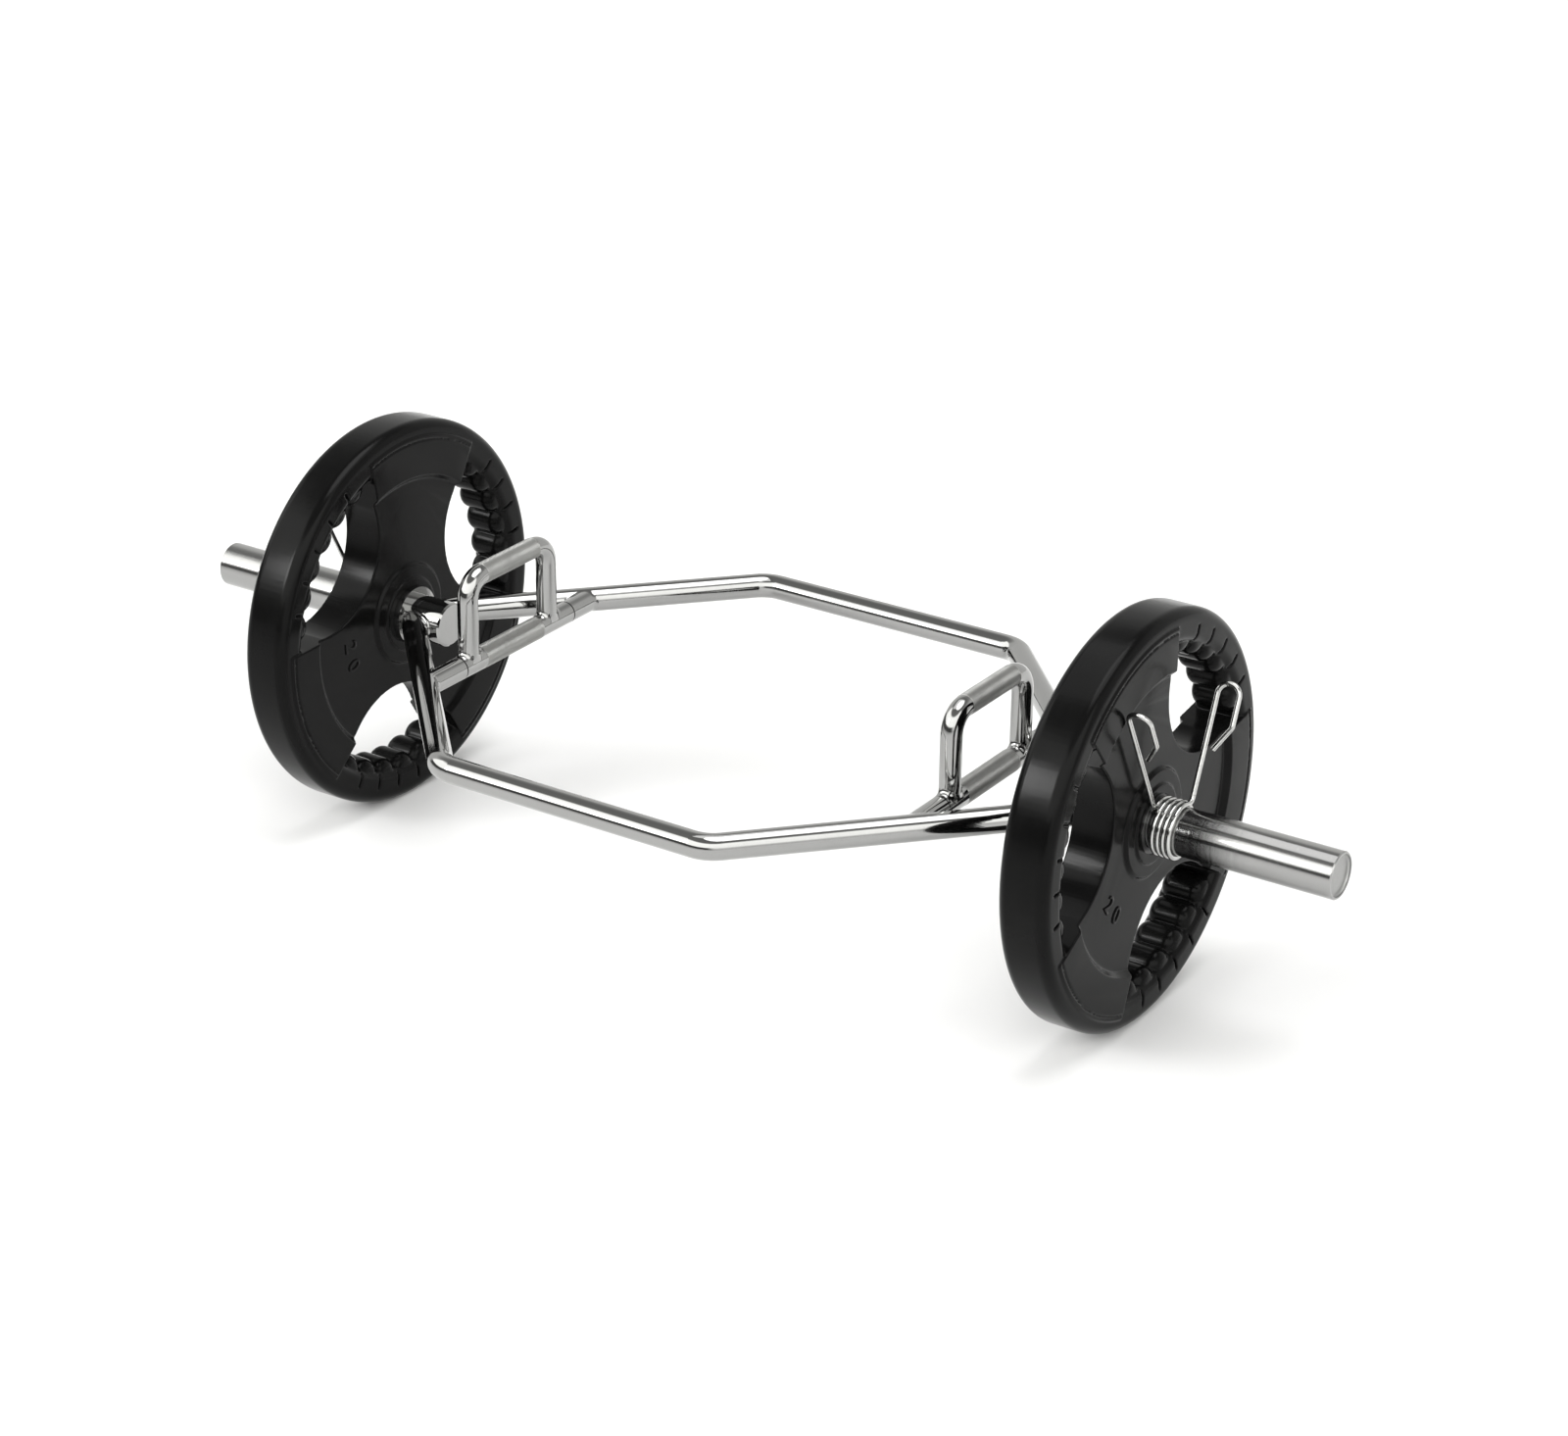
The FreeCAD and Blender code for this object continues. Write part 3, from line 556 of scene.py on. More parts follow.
def finger_rolls(sizes):
    """The rolls of all windows: a bar across the rim with rounded ends, copied round."""
    deselect()
    bpy.ops.mesh.primitive_cylinder_add(vertices=ROLL_SIDES, radius=sizes.roll_radius, depth=sizes.roll_width,
                                        location=(0, sizes.roll_centre, 0), rotation=(0, QUARTER_TURN, 0))
    item = newest("finger_roll")
    apply_place()
    edit(item)
    end = sizes.roll_width / 2

    def rim_edge(edge):
        first, last = edge.verts
        return abs(abs(first.co.x) - end) < TOUCHING and abs(first.co.x - last.co.x) < TOUCHING

    pick(item, "EDGE", rim_edge)
    bpy.ops.mesh.bevel(offset=sizes.roll_round, offset_type="OFFSET", segments=ROLL_ROUND_STEPS, affect="EDGES")
    close_up()
    done()
    return repeat_round(item, grip_angles(sizes, sizes.roll_count))


def slit_tools(sizes):
    """Cutters of the slits that run on from the grooves between the rolls, on both faces."""
    tools = []
    reach = sizes.slit_outer - sizes.slit_inner
    for facing in (-1, 1):
        deselect()
        place = (facing * sizes.rim_half, (sizes.slit_inner + sizes.slit_outer) / 2, 0)
        bpy.ops.mesh.primitive_cube_add(size=1, location=place)
        item = newest("slit_tool")
        item.scale = (2 * sizes.slit_depth, reach, sizes.slit_width)
        apply_place()
        edit(item)
        pick(item, "EDGE", lambda edge: all(vert.co.y > sizes.slit_inner + reach / 2 for vert in edge.verts)
             and abs(edge.verts[0].co.x - edge.verts[1].co.x) > TOUCHING)
        bpy.ops.mesh.bevel(offset=sizes.slit_width * SLIT_ROUND, segments=SLIT_ROUND_STEPS, affect="EDGES")
        done()
        tools.append(item)
    return repeat_round(join(tools), grip_angles(sizes, sizes.roll_count - 1))


def moulded_jacket(sizes):
    """The rubber of one plate about the origin: discs, rim and rolls melted into one moulding."""
    disc = spoke_disc(sizes)
    cut_with(disc, repeat_round(window_tool(sizes), window_angles()))
    rim = rim_ring(sizes)
    cut_with(rim, slit_tools(sizes))
    jacket = join([disc, rim, finger_rolls(sizes)])
    jacket.name = "plate_jacket"
    voxel = sizes.voxel * 1.0
    use_modifier(jacket, "REMESH", mode="VOXEL", voxel_size=voxel)
    use_modifier(jacket, "SMOOTH", factor=MELT_FACTOR, iterations=MELT_PASSES)
    count = sum(len(face.vertices) - 2 for face in jacket.data.polygons)
    use_modifier(jacket, "DECIMATE", decimate_type="COLLAPSE", ratio=min(1.0, JACKET_TRIANGLES / count))
    edit(jacket)
    close_up()
    done()
    smooth(jacket)
    return jacket


def mark_digit(sizes, digit, place, turn):
    """One digit on a plate's web, standing a little proud of it."""
    deselect()
    bpy.ops.object.text_add()
    item = bpy.context.object
    item.data.body = digit
    item.data.size = sizes.mark_height
    item.data.align_x = "CENTER"
    item.data.align_y = "CENTER"
    item.data.extrude = sizes.mark_relief
    item.data.bevel_depth = sizes.mark_relief * MARK_BEVEL
    item.data.bevel_resolution = 1
    bpy.ops.object.convert(target="MESH")
    item = bpy.context.object
    item.matrix_world = (Matrix.Translation(place) @ Matrix.Rotation(turn, 4, "X")
                         @ Matrix(((0, 0, 1, 0), (1, 0, 0, 0), (0, 1, 0, 0), (0, 0, 0, 1))))
    apply_place()
    edit(item)
    close_up()
    done()
    smooth(item, MARK_EDGE)
    return item


def weight_mark(sizes, side, centre):
    """The plain number on a plate, its digits set round the hub with their tops towards it."""
    digits = []
    for number, digit in enumerate(sizes.mark_text):
        step = number - (len(sizes.mark_text) - 1) / 2
        angle = getattr(sizes, f"{side}_mark") + step * sizes.mark_pitch
        out = Vector((0, math.cos(angle), math.sin(angle)))
        place = centre + Vector((sizes.web_half, 0, 0)) + out * sizes.mark_radius
        digits.append(mark_digit(sizes, digit, place, angle + QUARTER_TURN))
    mark = join(digits)
    mark.name = f"{side}_weight_mark"
    return mark


class TRAPBAR_OT_plates(bpy.types.Operator):
    """Mould the rubber of both grip plates"""

    bl_idname = "trapbar.plates"
    bl_label = "Grip Plates"

    def execute(self, context):
        sizes = context.scene.trapbar_plate
        jacket = moulded_jacket(sizes)
        rubber = satin_rubber(context.scene.trapbar_finish)
        for side in SIDES:
            centre = middle(f"{side}_plate_rubber")
            item = copy_of(jacket, f"{side}_plate_jacket")
            settle(item, centre, getattr(sizes, f"{side}_turn"))
            wear(item, rubber, f"{side}_plate")
            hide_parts(f"{side}_plate_rubber")
            mark = weight_mark(sizes, side, centre)
            wear(mark, rubber, f"{side}_plate")
        remove(jacket)
        return {"FINISHED"}


def coil_point(sizes, run):
    """Place and direction on the right-hand coil after so much winding."""
    angle = sizes.inner_leave - run
    radius = sizes.coil
    place = Vector((sizes.start + sizes.pitch * run / FULL_TURN, radius * math.cos(angle),
                    AXIS_HEIGHT + radius * math.sin(angle)))
    way = Vector((sizes.pitch / FULL_TURN, radius * math.sin(angle), -radius * math.cos(angle)))
    return place, way.normalized()


def wound_angle(sizes):
    """Winding of the coil from one lead to the other."""
    return sizes.turns * FULL_TURN + sizes.inner_leave - sizes.outer_leave


def bend_lead(sizes, place, way, arm):
    """Carry the selected end of the wire along a lead, round a bend and up to the arm's own piece."""
    turn = way.angle(arm)
    reach = sizes.bend * math.tan(turn / 2)
    extrude(way * (sizes.lead - reach))
    first = place + way * (sizes.lead - reach)
    inward = (arm - way * arm.dot(way)).normalized()
    axis = way.cross(arm).normalized()
    spin(LEAD_STEPS, -turn, first + inward * sizes.bend, axis)
    extrude(arm * (sizes.arm_start - reach))
    bpy.ops.mesh.edge_face_add()


def wound_coil(sizes):
    """Wire of the right-hand clip: a helix with both leads turned up towards the arms."""
    wrap = wound_angle(sizes)
    start, start_way = coil_point(sizes, 0)
    end, end_way = coil_point(sizes, wrap)
    deselect()
    bpy.ops.mesh.primitive_circle_add(vertices=WIRE_SIDES, radius=sizes.wire, fill_type="NOTHING",
                                      location=(0, 0, sizes.coil), rotation=(QUARTER_TURN, 0, 0))
    item = newest("wound_coil")
    apply_place()
    settle(item, turn=sizes.inner_leave - QUARTER_TURN)
    steps = COIL_TURN_STEPS * sizes.turns
    use_modifier(item, "SCREW", axis="X", angle=-wrap, screw_offset=sizes.pitch * wrap / FULL_TURN,
                 steps=steps, render_steps=steps, use_merge_vertices=False)
    settle(item, (sizes.start, 0, AXIS_HEIGHT))
    edit(item)
    arms = ((start, -start_way, Matrix.Rotation(sizes.inner_tilt, 3, "X") @ Vector((0, 0, 1))),
            (end, end_way, Matrix.Rotation(-sizes.outer_tilt, 3, "X") @ Vector((0, 0, 1))))
    for place, way, arm in arms:
        pick(item, "VERT", lambda vert: vert.is_boundary and (vert.co - place).length < 1.5 * sizes.wire)
        bend_lead(sizes, place, way, arm)
    close_up()
    done()
    smooth(item, WIRE_EDGE)
    return item


def hooked_arm(sizes, name, length):
    """Wire of an arm standing on the origin: up, over a hook towards +X and down to a turned-in tail."""
    deselect()
    bpy.ops.mesh.primitive_circle_add(vertices=WIRE_SIDES, radius=sizes.wire, fill_type="NOTHING")
    item = newest(name)
    edit(item)
    bend = sizes.hook_bend
    tail = Vector((-sizes.tail_run, 0, -sizes.tail_drop))
    lean = math.atan2(sizes.tail_run, sizes.tail_drop)
    reach = sizes.tail_bend * math.tan(lean / 2)
    turn = length - sizes.hook_leg + reach
    width = sizes.hook_width
    route = (((0, 0, length - bend), HOOK_STEPS, QUARTER_TURN, (bend, 0, length - bend)),
             ((width - 2 * bend, 0, 0), HOOK_STEPS, QUARTER_TURN, (width - bend, 0, length - bend)),
             ((0, 0, turn - length + bend), TAIL_STEPS, lean, (width - sizes.tail_bend, 0, turn)))
    for run, steps, angle, centre in route:
        extrude(run)
        spin(steps, -angle, centre, (0, 1, 0))
    extrude(tail.normalized() * (tail.length - reach))
    bpy.ops.mesh.edge_face_add()
    bpy.ops.mesh.bevel(offset=sizes.wire * WIRE_END_ROUND, segments=WIRE_END_STEPS, affect="EDGES")
    pick(item, "VERT", lambda vert: vert.is_boundary)
    bpy.ops.mesh.edge_face_add()
    close_up()
    done()
    smooth(item, WIRE_EDGE)
    return item


def mirrored_copy(item, name, sign):
    """A copy with a mesh of its own, turned over to the left side for a negative sign."""
    copy = copy_of(item, name)
    if sign < 0:
        copy.scale = (-1, 1, 1)
        apply_place()
        edit(copy)
        close_up()
        done()
    return copy


def clip_arms(sizes):
    """Both arms of the right-hand clip in place."""
    wrap = wound_angle(sizes)
    start, start_way = coil_point(sizes, 0)
    end, end_way = coil_point(sizes, wrap)
    places = {"inner": (start - start_way * sizes.lead, sizes.inner_tilt, sizes.arm_start, sizes.inner_length),
              "outer": (end + end_way * sizes.lead, -sizes.outer_tilt, sizes.arm_start + sizes.outer_gap,
                        sizes.outer_length)}
    arms = {}
    for part, (corner, tilt, foot, length) in places.items():
        up = Matrix.Rotation(tilt, 3, "X") @ Vector((0, 0, 1))
        arms[part] = settle(hooked_arm(sizes, f"{part}_arm", length - foot), corner + up * foot, tilt)
    return arms


class TRAPBAR_OT_clips(bpy.types.Operator):
    """Wind the coils and bend the arms of both spring clips"""

    bl_idname = "trapbar.clips"
    bl_label = "Spring Clips"

    def execute(self, context):
        sizes = context.scene.trapbar_clip
        wire = spring_wire(context.scene.trapbar_finish)
        coil = wound_coil(sizes)
        arms = clip_arms(sizes)
        for side, sign in SIDES.items():
            item = mirrored_copy(coil, f"{side}_spring_coil", sign)
            wear(item, wire, None)
            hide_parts(f"{side}_clip_coil")
            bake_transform(item)
            for part, body in (("inner", f"{side}_clip"), ("outer", f"{side}_clip_lever")):
                item = mirrored_copy(arms[part], f"{side}_{part}_wire", sign)
                wear(item, wire, body)
                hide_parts(f"{side}_clip_{part}_arm")
        for item in (coil, *arms.values()):
            remove(item)
        return {"FINISHED"}


def sleeve_cap(sizes):
    """A dished cap about the origin, its face towards +X, with a hollow round up to its outer edge."""
    start = (-sizes.depth, 0, 0)
    hollow = sizes.inset - sizes.rise
    item = first_point("sleeve_cap", start)
    draw_on(start, [(-sizes.depth, sizes.radius, 0), (-sizes.rise, sizes.radius, 0)])
    spin(CAP_ROUND_STEPS, -QUARTER_TURN, (-sizes.rise, sizes.radius - hollow, 0), (0, 0, 1))
    extrude((0, hollow - sizes.radius, 0))
    select_whole()
    spin(CAP_STEPS, FULL_TURN)
    close_up()
    done()
    return item


class TRAPBAR_OT_caps(bpy.types.Operator):
    """Turn the caps in the sleeves' open ends"""

    bl_idname = "trapbar.caps"
    bl_label = "Sleeve Caps"

    def execute(self, context):
        finish = turned_plug(context.scene.trapbar_finish)
        cap = sleeve_cap(context.scene.trapbar_cap)
        smooth(cap, TURNED_EDGE)
        for side, sign in SIDES.items():
            low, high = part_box(f"{side}_sleeve")
            item = copy_of(cap, f"{side}_sleeve_cap")
            if sign < 0:
                item.rotation_euler = (0, 0, math.pi)
                apply_place()
            settle(item, (high.x if sign > 0 else low.x, 0, AXIS_HEIGHT))
            wear(item, finish, "frame")
        remove(cap)
        return {"FINISHED"}


def knurled_band(sizes, name, radius, front, rear, place):
    """A band of knurl diamonds along Y round a bar."""
    around = round(FULL_TURN * radius / sizes.diamond_width)
    along = round((rear - front) / sizes.diamond_length)
    deselect()
    bpy.ops.mesh.primitive_circle_add(vertices=around, radius=radius, fill_type="NOTHING",
                                      location=(place.x, front, place.z), rotation=(QUARTER_TURN, 0, 0))
    item = newest(name)
    apply_place()
    edit(item)
    extrude((0, rear - front, 0))
    pick(item, "EDGE", lambda edge: abs(edge.verts[0].co.y - edge.verts[1].co.y) > TOUCHING)
    bpy.ops.mesh.subdivide(number_cuts=along - 1)
    select_whole()
    bpy.ops.mesh.normals_make_consistent(inside=False)
    bpy.ops.mesh.select_mode(type="FACE")
    select_whole()
    mesh = bmesh.from_edit_mesh(item.data)
    sides = mesh.edges.layers.int.new("quad_side")
    for edge in mesh.edges:
        edge[sides] = 1
    bmesh.update_edit_mesh(item.data)
    bpy.ops.mesh.poke(offset=0.0)
    mesh = bmesh.from_edit_mesh(item.data)
    sides = mesh.edges.layers.int.get("quad_side")
    pick(item, "EDGE", lambda edge: edge[sides] == 1 and not edge.is_boundary)
    bpy.ops.mesh.dissolve_edges(use_verts=False)
    bpy.ops.mesh.select_mode(type="FACE")
    select_whole()
    bpy.ops.mesh.poke(offset=sizes.diamond_height)
    pick(item, "EDGE", lambda edge: edge.is_boundary)
    extrude((0, 0, 0))
    for end in (front, rear):
        pick(item, "VERT", lambda vert: vert.is_boundary and abs(vert.co.y - end) < TOUCHING)
        bpy.ops.transform.resize(value=(KNURL_END, 1, KNURL_END), center_override=(place.x, end, place.z))
    pick(item, "EDGE", lambda edge: edge.is_boundary)
    bpy.ops.mesh.bridge_edge_loops()
    select_whole()
    bpy.ops.mesh.normals_make_consistent(inside=False)
    done()
    item.data.attributes.remove(item.data.attributes["quad_side"])
    return item


class TRAPBAR_OT_knurls(bpy.types.Operator):
    """Roll the knurl on the low grips and raised handles"""

    bl_idname = "trapbar.knurls"
    bl_label = "Knurled Grips"

    def execute(self, context):
        sizes = context.scene.trapbar_grip
        finish = knurled_chrome(context.scene.trapbar_finish)
        bar = sizes.handle_radius
        for side in SIDES:
            low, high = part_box(f"{side}_raised_handle")
            top = Vector((middle(f"{side}_low_grip").x, 0, high.z - bar))
            bend = sizes.handle_bend + bar
            item = knurled_band(sizes, f"{side}_handle_knurl", bar, low.y + bend, high.y - bend, top)
            wear(item, finish, "frame")
            grip = middle(f"{side}_low_grip")
            front = low.y + bar + sizes.low_front_gap
            rear = high.y - 2 * bar - sizes.low_rear_gap
            item = knurled_band(sizes, f"{side}_grip_knurl", half_size(f"{side}_low_grip").z, front, rear, grip)
            wear(item, finish, "frame")
        return {"FINISHED"}


def meet(point, way, host, host_way, host_radius):
    """How far along a line from a point it leaves a host bar."""
    flat = way - host_way * way.dot(host_way)
    start = point - host
    start = start - host_way * start.dot(host_way)
    square = flat.dot(flat)
    cross = start.dot(flat)
    rest = start.dot(start) - host_radius ** 2
    return (-cross + math.sqrt(max(0.0, cross ** 2 - square * rest))) / square


def weld_flare(name, place, way, radius, host_way, host_radius, size):
    """A polished flare round a bar where it stands on a host bar; both axes run through the place."""
    deselect()
    bpy.ops.mesh.primitive_torus_add(major_segments=WELD_STEPS, minor_segments=WELD_CURVE_STEPS,
                                     major_radius=radius, minor_radius=size)
    item = newest(name)
    side = way.cross(host_way).normalized()
    ahead = side.cross(way).normalized()
    edit(item)
    mesh = bmesh.from_edit_mesh(item.data)
    mesh.verts.ensure_lookup_table()
    for number, vert in enumerate(list(mesh.verts)):
        ring, step = divmod(number, WELD_CURVE_STEPS)
        angle = FULL_TURN * ring / WELD_STEPS
        out = ahead * math.cos(angle) + side * math.sin(angle)
        root = place + out * radius
        corner = root + way * meet(root, way, place, host_way, host_radius)
        normal = corner - place
        normal = (normal - host_way * normal.dot(host_way)).normalized()
        outward = (out - normal * out.dot(normal)).normalized()
        along = outward.dot(host_way) * size
        roll = outward.dot(host_way.cross(normal)) * size / host_radius
        toe = Matrix.Rotation(roll, 3, host_way) @ (corner - place) + place + host_way * along
        head = corner + way * size
        if step == WELD_CURVE_STEPS - 1:
            vert.co = corner - (normal + out) * size * WELD_ROOT
        else:
            share = step / (WELD_CURVE_STEPS - 2)
            hollow = corner + (head - corner) * WELD_HOLLOW + (toe - corner) * WELD_HOLLOW
            vert.co = head * (1 - share) ** 2 + hollow * 2 * share * (1 - share) + toe * share ** 2
    bmesh.update_edit_mesh(item.data)
    close_up()
    done()
    smooth(item, WELD_EDGE)
    return item


def joint_shade_ring(sizes, name, place, radius):
    """A thin near-black ring round a rail that runs along Y: painted shade standing for the shade in the joint's
    groove.
    """
    edge = sizes.seam_width / 2
    out = radius + sizes.seam_relief
    deep = radius - sizes.seam_width
    half = [(-edge, deep), (-edge, radius), (-edge / 2, out)]
    item = turned(name, half + [(-along, high) for along, high in reversed(half)], SEAM_STEPS)
    item.rotation_euler = (0, 0, QUARTER_TURN)
    item.location = place
    activate(item)
    apply_place()
    smooth(item, TURNED_EDGE)
    return item


class TRAPBAR_OT_seams(bpy.types.Operator):
    """Draw the rings of painted shade at the joints between the low grips and their rails"""

    bl_idname = "trapbar.seams"
    bl_label = "Joint Seams"

    def execute(self, context):
        sizes = context.scene.trapbar_grip
        finish = joint_shadow(context.scene.trapbar_finish)
        for side in SIDES:
            low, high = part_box(f"{side}_low_grip")
            grip = middle(f"{side}_low_grip")
            for end, station in (("front", low.y), ("rear", high.y)):
                place = (grip.x, station, grip.z)
                # Each ring carries painted shade: its dark colour stands for the shade in the joint's groove.
                item = joint_shade_ring(sizes, f"{side}_{end}_joint_shade_ring", place, (high.z - low.z) / 2)
                wear(item, finish, "frame")
        return {"FINISHED"}


class TRAPBAR_OT_welds(bpy.types.Operator):
    """Flow the polished welds at handle feet, rails and sleeve roots"""

    bl_idname = "trapbar.welds"
    bl_label = "Welds"

    def execute(self, context):
        sizes = context.scene.trapbar_grip
        finish = polished_chrome(context.scene.trapbar_finish)
        tube = half_size("front_frame_tube").z
        rail_way = Vector((0, 1, 0))
        for side, sign in SIDES.items():
            grip = middle(f"{side}_low_grip")
            rail = half_size(f"{side}_low_grip").z
            low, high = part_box(f"{side}_raised_handle")
            feet = {"front": low.y + sizes.handle_radius, "rear": high.y - sizes.handle_radius}
            items = []
            for end, station in feet.items():
                foot = Vector((grip.x, station, grip.z))
                items.append(weld_flare(f"{side}_{end}_foot_weld", foot, Vector((0, 0, 1)), sizes.handle_radius,
                                        rail_way, rail, sizes.foot_weld))
            for end, facing in ENDS.items():
                run = Vector((-sign * (HEX_VERTEX - HEX_CORNER), facing * HEX_HALF_WIDTH, 0)).normalized()
                corner = Vector((sign * HEX_VERTEX, 0, AXIS_HEIGHT))
                meeting = corner + run * ((corner.x - grip.x) / -run.x)
                items.append(weld_flare(f"{side}_{end}_rail_weld", meeting, Vector((0, -facing, 0)), rail,
                                        run, tube, sizes.rail_weld))
                items.append(weld_flare(f"{side}_{end}_root_weld", corner, run, tube, Vector((1, 0, 0)),
                                        SLEEVE_HALF.z, sizes.root_weld))
            for item in items:
                wear(item, finish, "frame")
        return {"FINISHED"}


def new_group(name, inputs, outputs):
    """A shader node group with named sockets, or the one already built."""
    found = bpy.data.node_groups.get(name)
    if found:
        return found, False
    group = bpy.data.node_groups.new(name, "ShaderNodeTree")
    for label, kind, default in inputs:
        socket = group.interface.new_socket(label, in_out="INPUT", socket_type=kind)
        if default is not None:
            socket.default_value = default
    for label, kind in outputs:
        group.interface.new_socket(label, in_out="OUTPUT", socket_type=kind)
    return group, True


def node(tree, kind, **values):
    """A new shader node with its settings."""
    item = tree.nodes.new(kind)
    for name, value in values.items():
        setattr(item, name, value)
    return item


def noise(tree, coords, scale, detail=4.0, roughness=0.55):
    """Noise over the surface, at a number's or a socket's scale."""
    item = node(tree, "ShaderNodeTexNoise")
    item.inputs["Detail"].default_value = detail
    item.inputs["Roughness"].default_value = roughness
    tree.links.new(coords, item.inputs["Vector"])
    if isinstance(scale, (int, float)):
        item.inputs["Scale"].default_value = scale
    else:
        tree.links.new(scale, item.inputs["Scale"])
    return item.outputs["Fac"]


def spread(tree, source, low, high, to_low, to_high):
    """Map a value from one range to another."""
    item = node(tree, "ShaderNodeMapRange", clamp=True)
    tree.links.new(source, item.inputs["Value"])
    for label, value in (("From Min", low), ("From Max", high), ("To Min", to_low), ("To Max", to_high)):
        if isinstance(value, (int, float)):
            item.inputs[label].default_value = value
        else:
            tree.links.new(value, item.inputs[label])
    return item.outputs["Result"]


def open_group(group):
    """A new group's tree with its input and output nodes."""
    return group, node(group, "NodeGroupInput"), node(group, "NodeGroupOutput")


def handling_group():
    """Finger smudges and fine wipe marks as a roughness value."""
    group, fresh = new_group("Handling Marks", (("Vector", "NodeSocketVector", None),
                                                ("Scale", "NodeSocketFloat", 9.0),
                                                ("Clean", "NodeSocketFloat", 0.05),
                                                ("Smudged", "NodeSocketFloat", 0.16)),
                             (("Roughness", "NodeSocketFloat"), ("Mask", "NodeSocketFloat")))
    if fresh:
        tree, enter, leave = open_group(group)
        cloud = noise(tree, enter.outputs["Vector"], enter.outputs["Scale"])
        fine = noise(tree, enter.outputs["Vector"], 240.0, 2.0)
        mix = node(tree, "ShaderNodeMath", operation="MULTIPLY_ADD")
        tree.links.new(fine, mix.inputs[0])
        mix.inputs[1].default_value = 0.25
        tree.links.new(cloud, mix.inputs[2])
        mask = spread(tree, mix.outputs[0], 0.56, 0.86, 0.0, 1.0)
        rough = spread(tree, mask, 0.0, 1.0, enter.outputs["Clean"], enter.outputs["Smudged"])
        tree.links.new(rough, leave.inputs["Roughness"])
        tree.links.new(mask, leave.inputs["Mask"])
    return group


def grain_group():
    """Fine moulded or cast grain as a height, with a slow mottle."""
    group, fresh = new_group("Surface Grain", (("Vector", "NodeSocketVector", None),
                                               ("Scale", "NodeSocketFloat", 900.0),
                                               ("Mottle Scale", "NodeSocketFloat", 14.0)),
                             (("Height", "NodeSocketFloat"), ("Mottle", "NodeSocketFloat")))
    if fresh:
        tree, enter, leave = open_group(group)
        fine = noise(tree, enter.outputs["Vector"], enter.outputs["Scale"], 3.0, 0.6)
        mottle = noise(tree, enter.outputs["Vector"], enter.outputs["Mottle Scale"], 5.0, 0.6)
        tree.links.new(fine, leave.inputs["Height"])
        tree.links.new(mottle, leave.inputs["Mottle"])
    return group


def new_material(name):
    """A material with its shader and Object coordinates, or the one already made."""
    found = bpy.data.materials.get(name)
    if found:
        return found, None, None, None
    material = bpy.data.materials.new(name)
    material.use_nodes = True
    tree = material.node_tree
    shader = tree.nodes["Principled BSDF"]
    coords = node(tree, "ShaderNodeTexCoord").outputs["Object"]
    return material, tree, shader, coords


def place_group(tree, group, coords, **values):
    """A shared node group with this material's own values."""
    item = node(tree, "ShaderNodeGroup", node_tree=group)
    tree.links.new(coords, item.inputs["Vector"])
    for name, value in values.items():
        item.inputs[name.replace("_", " ")].default_value = value
    return item


def tint(tree, mask, first, last):
    """A colour between two along a mask."""
    item = node(tree, "ShaderNodeMix", data_type="RGBA")
    tree.links.new(mask, item.inputs["Factor"])
    item.inputs["A"].default_value = (*first, 1)
    item.inputs["B"].default_value = (*last, 1)
    return item.outputs["Result"]


def shade(colour, factor):
    return tuple(channel * factor for channel in colour)


def bump(tree, shader, height, strength, distance):
    """Small relief from a height."""
    item = node(tree, "ShaderNodeBump")
    item.inputs["Strength"].default_value = strength
    item.inputs["Distance"].default_value = distance
    tree.links.new(height, item.inputs["Height"])
    tree.links.new(item.outputs["Normal"], shader.inputs["Normal"])


def handled(tree, shader, coords, scale, clean, smudged):
    """Handling marks on a metal's roughness; gives their mask."""
    marks = place_group(tree, handling_group(), coords, Scale=scale, Clean=clean, Smudged=smudged)
    tree.links.new(marks.outputs["Roughness"], shader.inputs["Roughness"])
    shader.inputs["Metallic"].default_value = 1.0
    return marks.outputs["Mask"]


def plating(name, fresh, worn, scale, clean, smudged):
    """A plated metal whose colour goes from fresh to worn under the handling marks."""
    material, tree, shader, coords = new_material(name)
    if tree:
        mask = handled(tree, shader, coords, scale, clean, smudged)
        tree.links.new(tint(tree, mask, fresh, worn), shader.inputs["Base Color"])
    return material


def polished_chrome(colours):
    return plating("polished_chrome", colours.chrome, shade(colours.chrome, 0.93),
                   scale=11.0, clean=0.045, smudged=0.13)


def knurled_chrome(colours):
    return plating("knurled_chrome", colours.knurl, shade(colours.knurl, 0.85),
                   scale=30.0, clean=0.36, smudged=0.46)


# Near-black chrome for the joint rings: painted shade, not a colour of the plating.
def joint_shadow(colours):
    return plating("joint_shadow", shade(colours.chrome, 0.04), shade(colours.chrome, 0.08),
                   scale=90.0, clean=0.35, smudged=0.55)


def spring_wire(colours):
    return plating("spring_wire", colours.wire, shade(colours.wire, 0.85),
                   scale=60.0, clean=0.10, smudged=0.22)


def satin_rubber(colours):
    material, tree, shader, coords = new_material("satin_rubber")
    if tree:
        grain = place_group(tree, grain_group(), coords, Scale=1400.0, Mottle_Scale=16.0)
        bloom = spread(tree, grain.outputs["Mottle"], 0.42, 0.72, 0.0, 0.55)
        tree.links.new(tint(tree, bloom, colours.rubber, colours.dust), shader.inputs["Base Color"])
        tree.links.new(spread(tree, grain.outputs["Mottle"], 0.35, 0.7, 0.14, 0.20), shader.inputs["Roughness"])
        shader.inputs["Specular IOR Level"].default_value = 0.082
        bump(tree, shader, grain.outputs["Height"], 0.10, 0.0002)
    return material


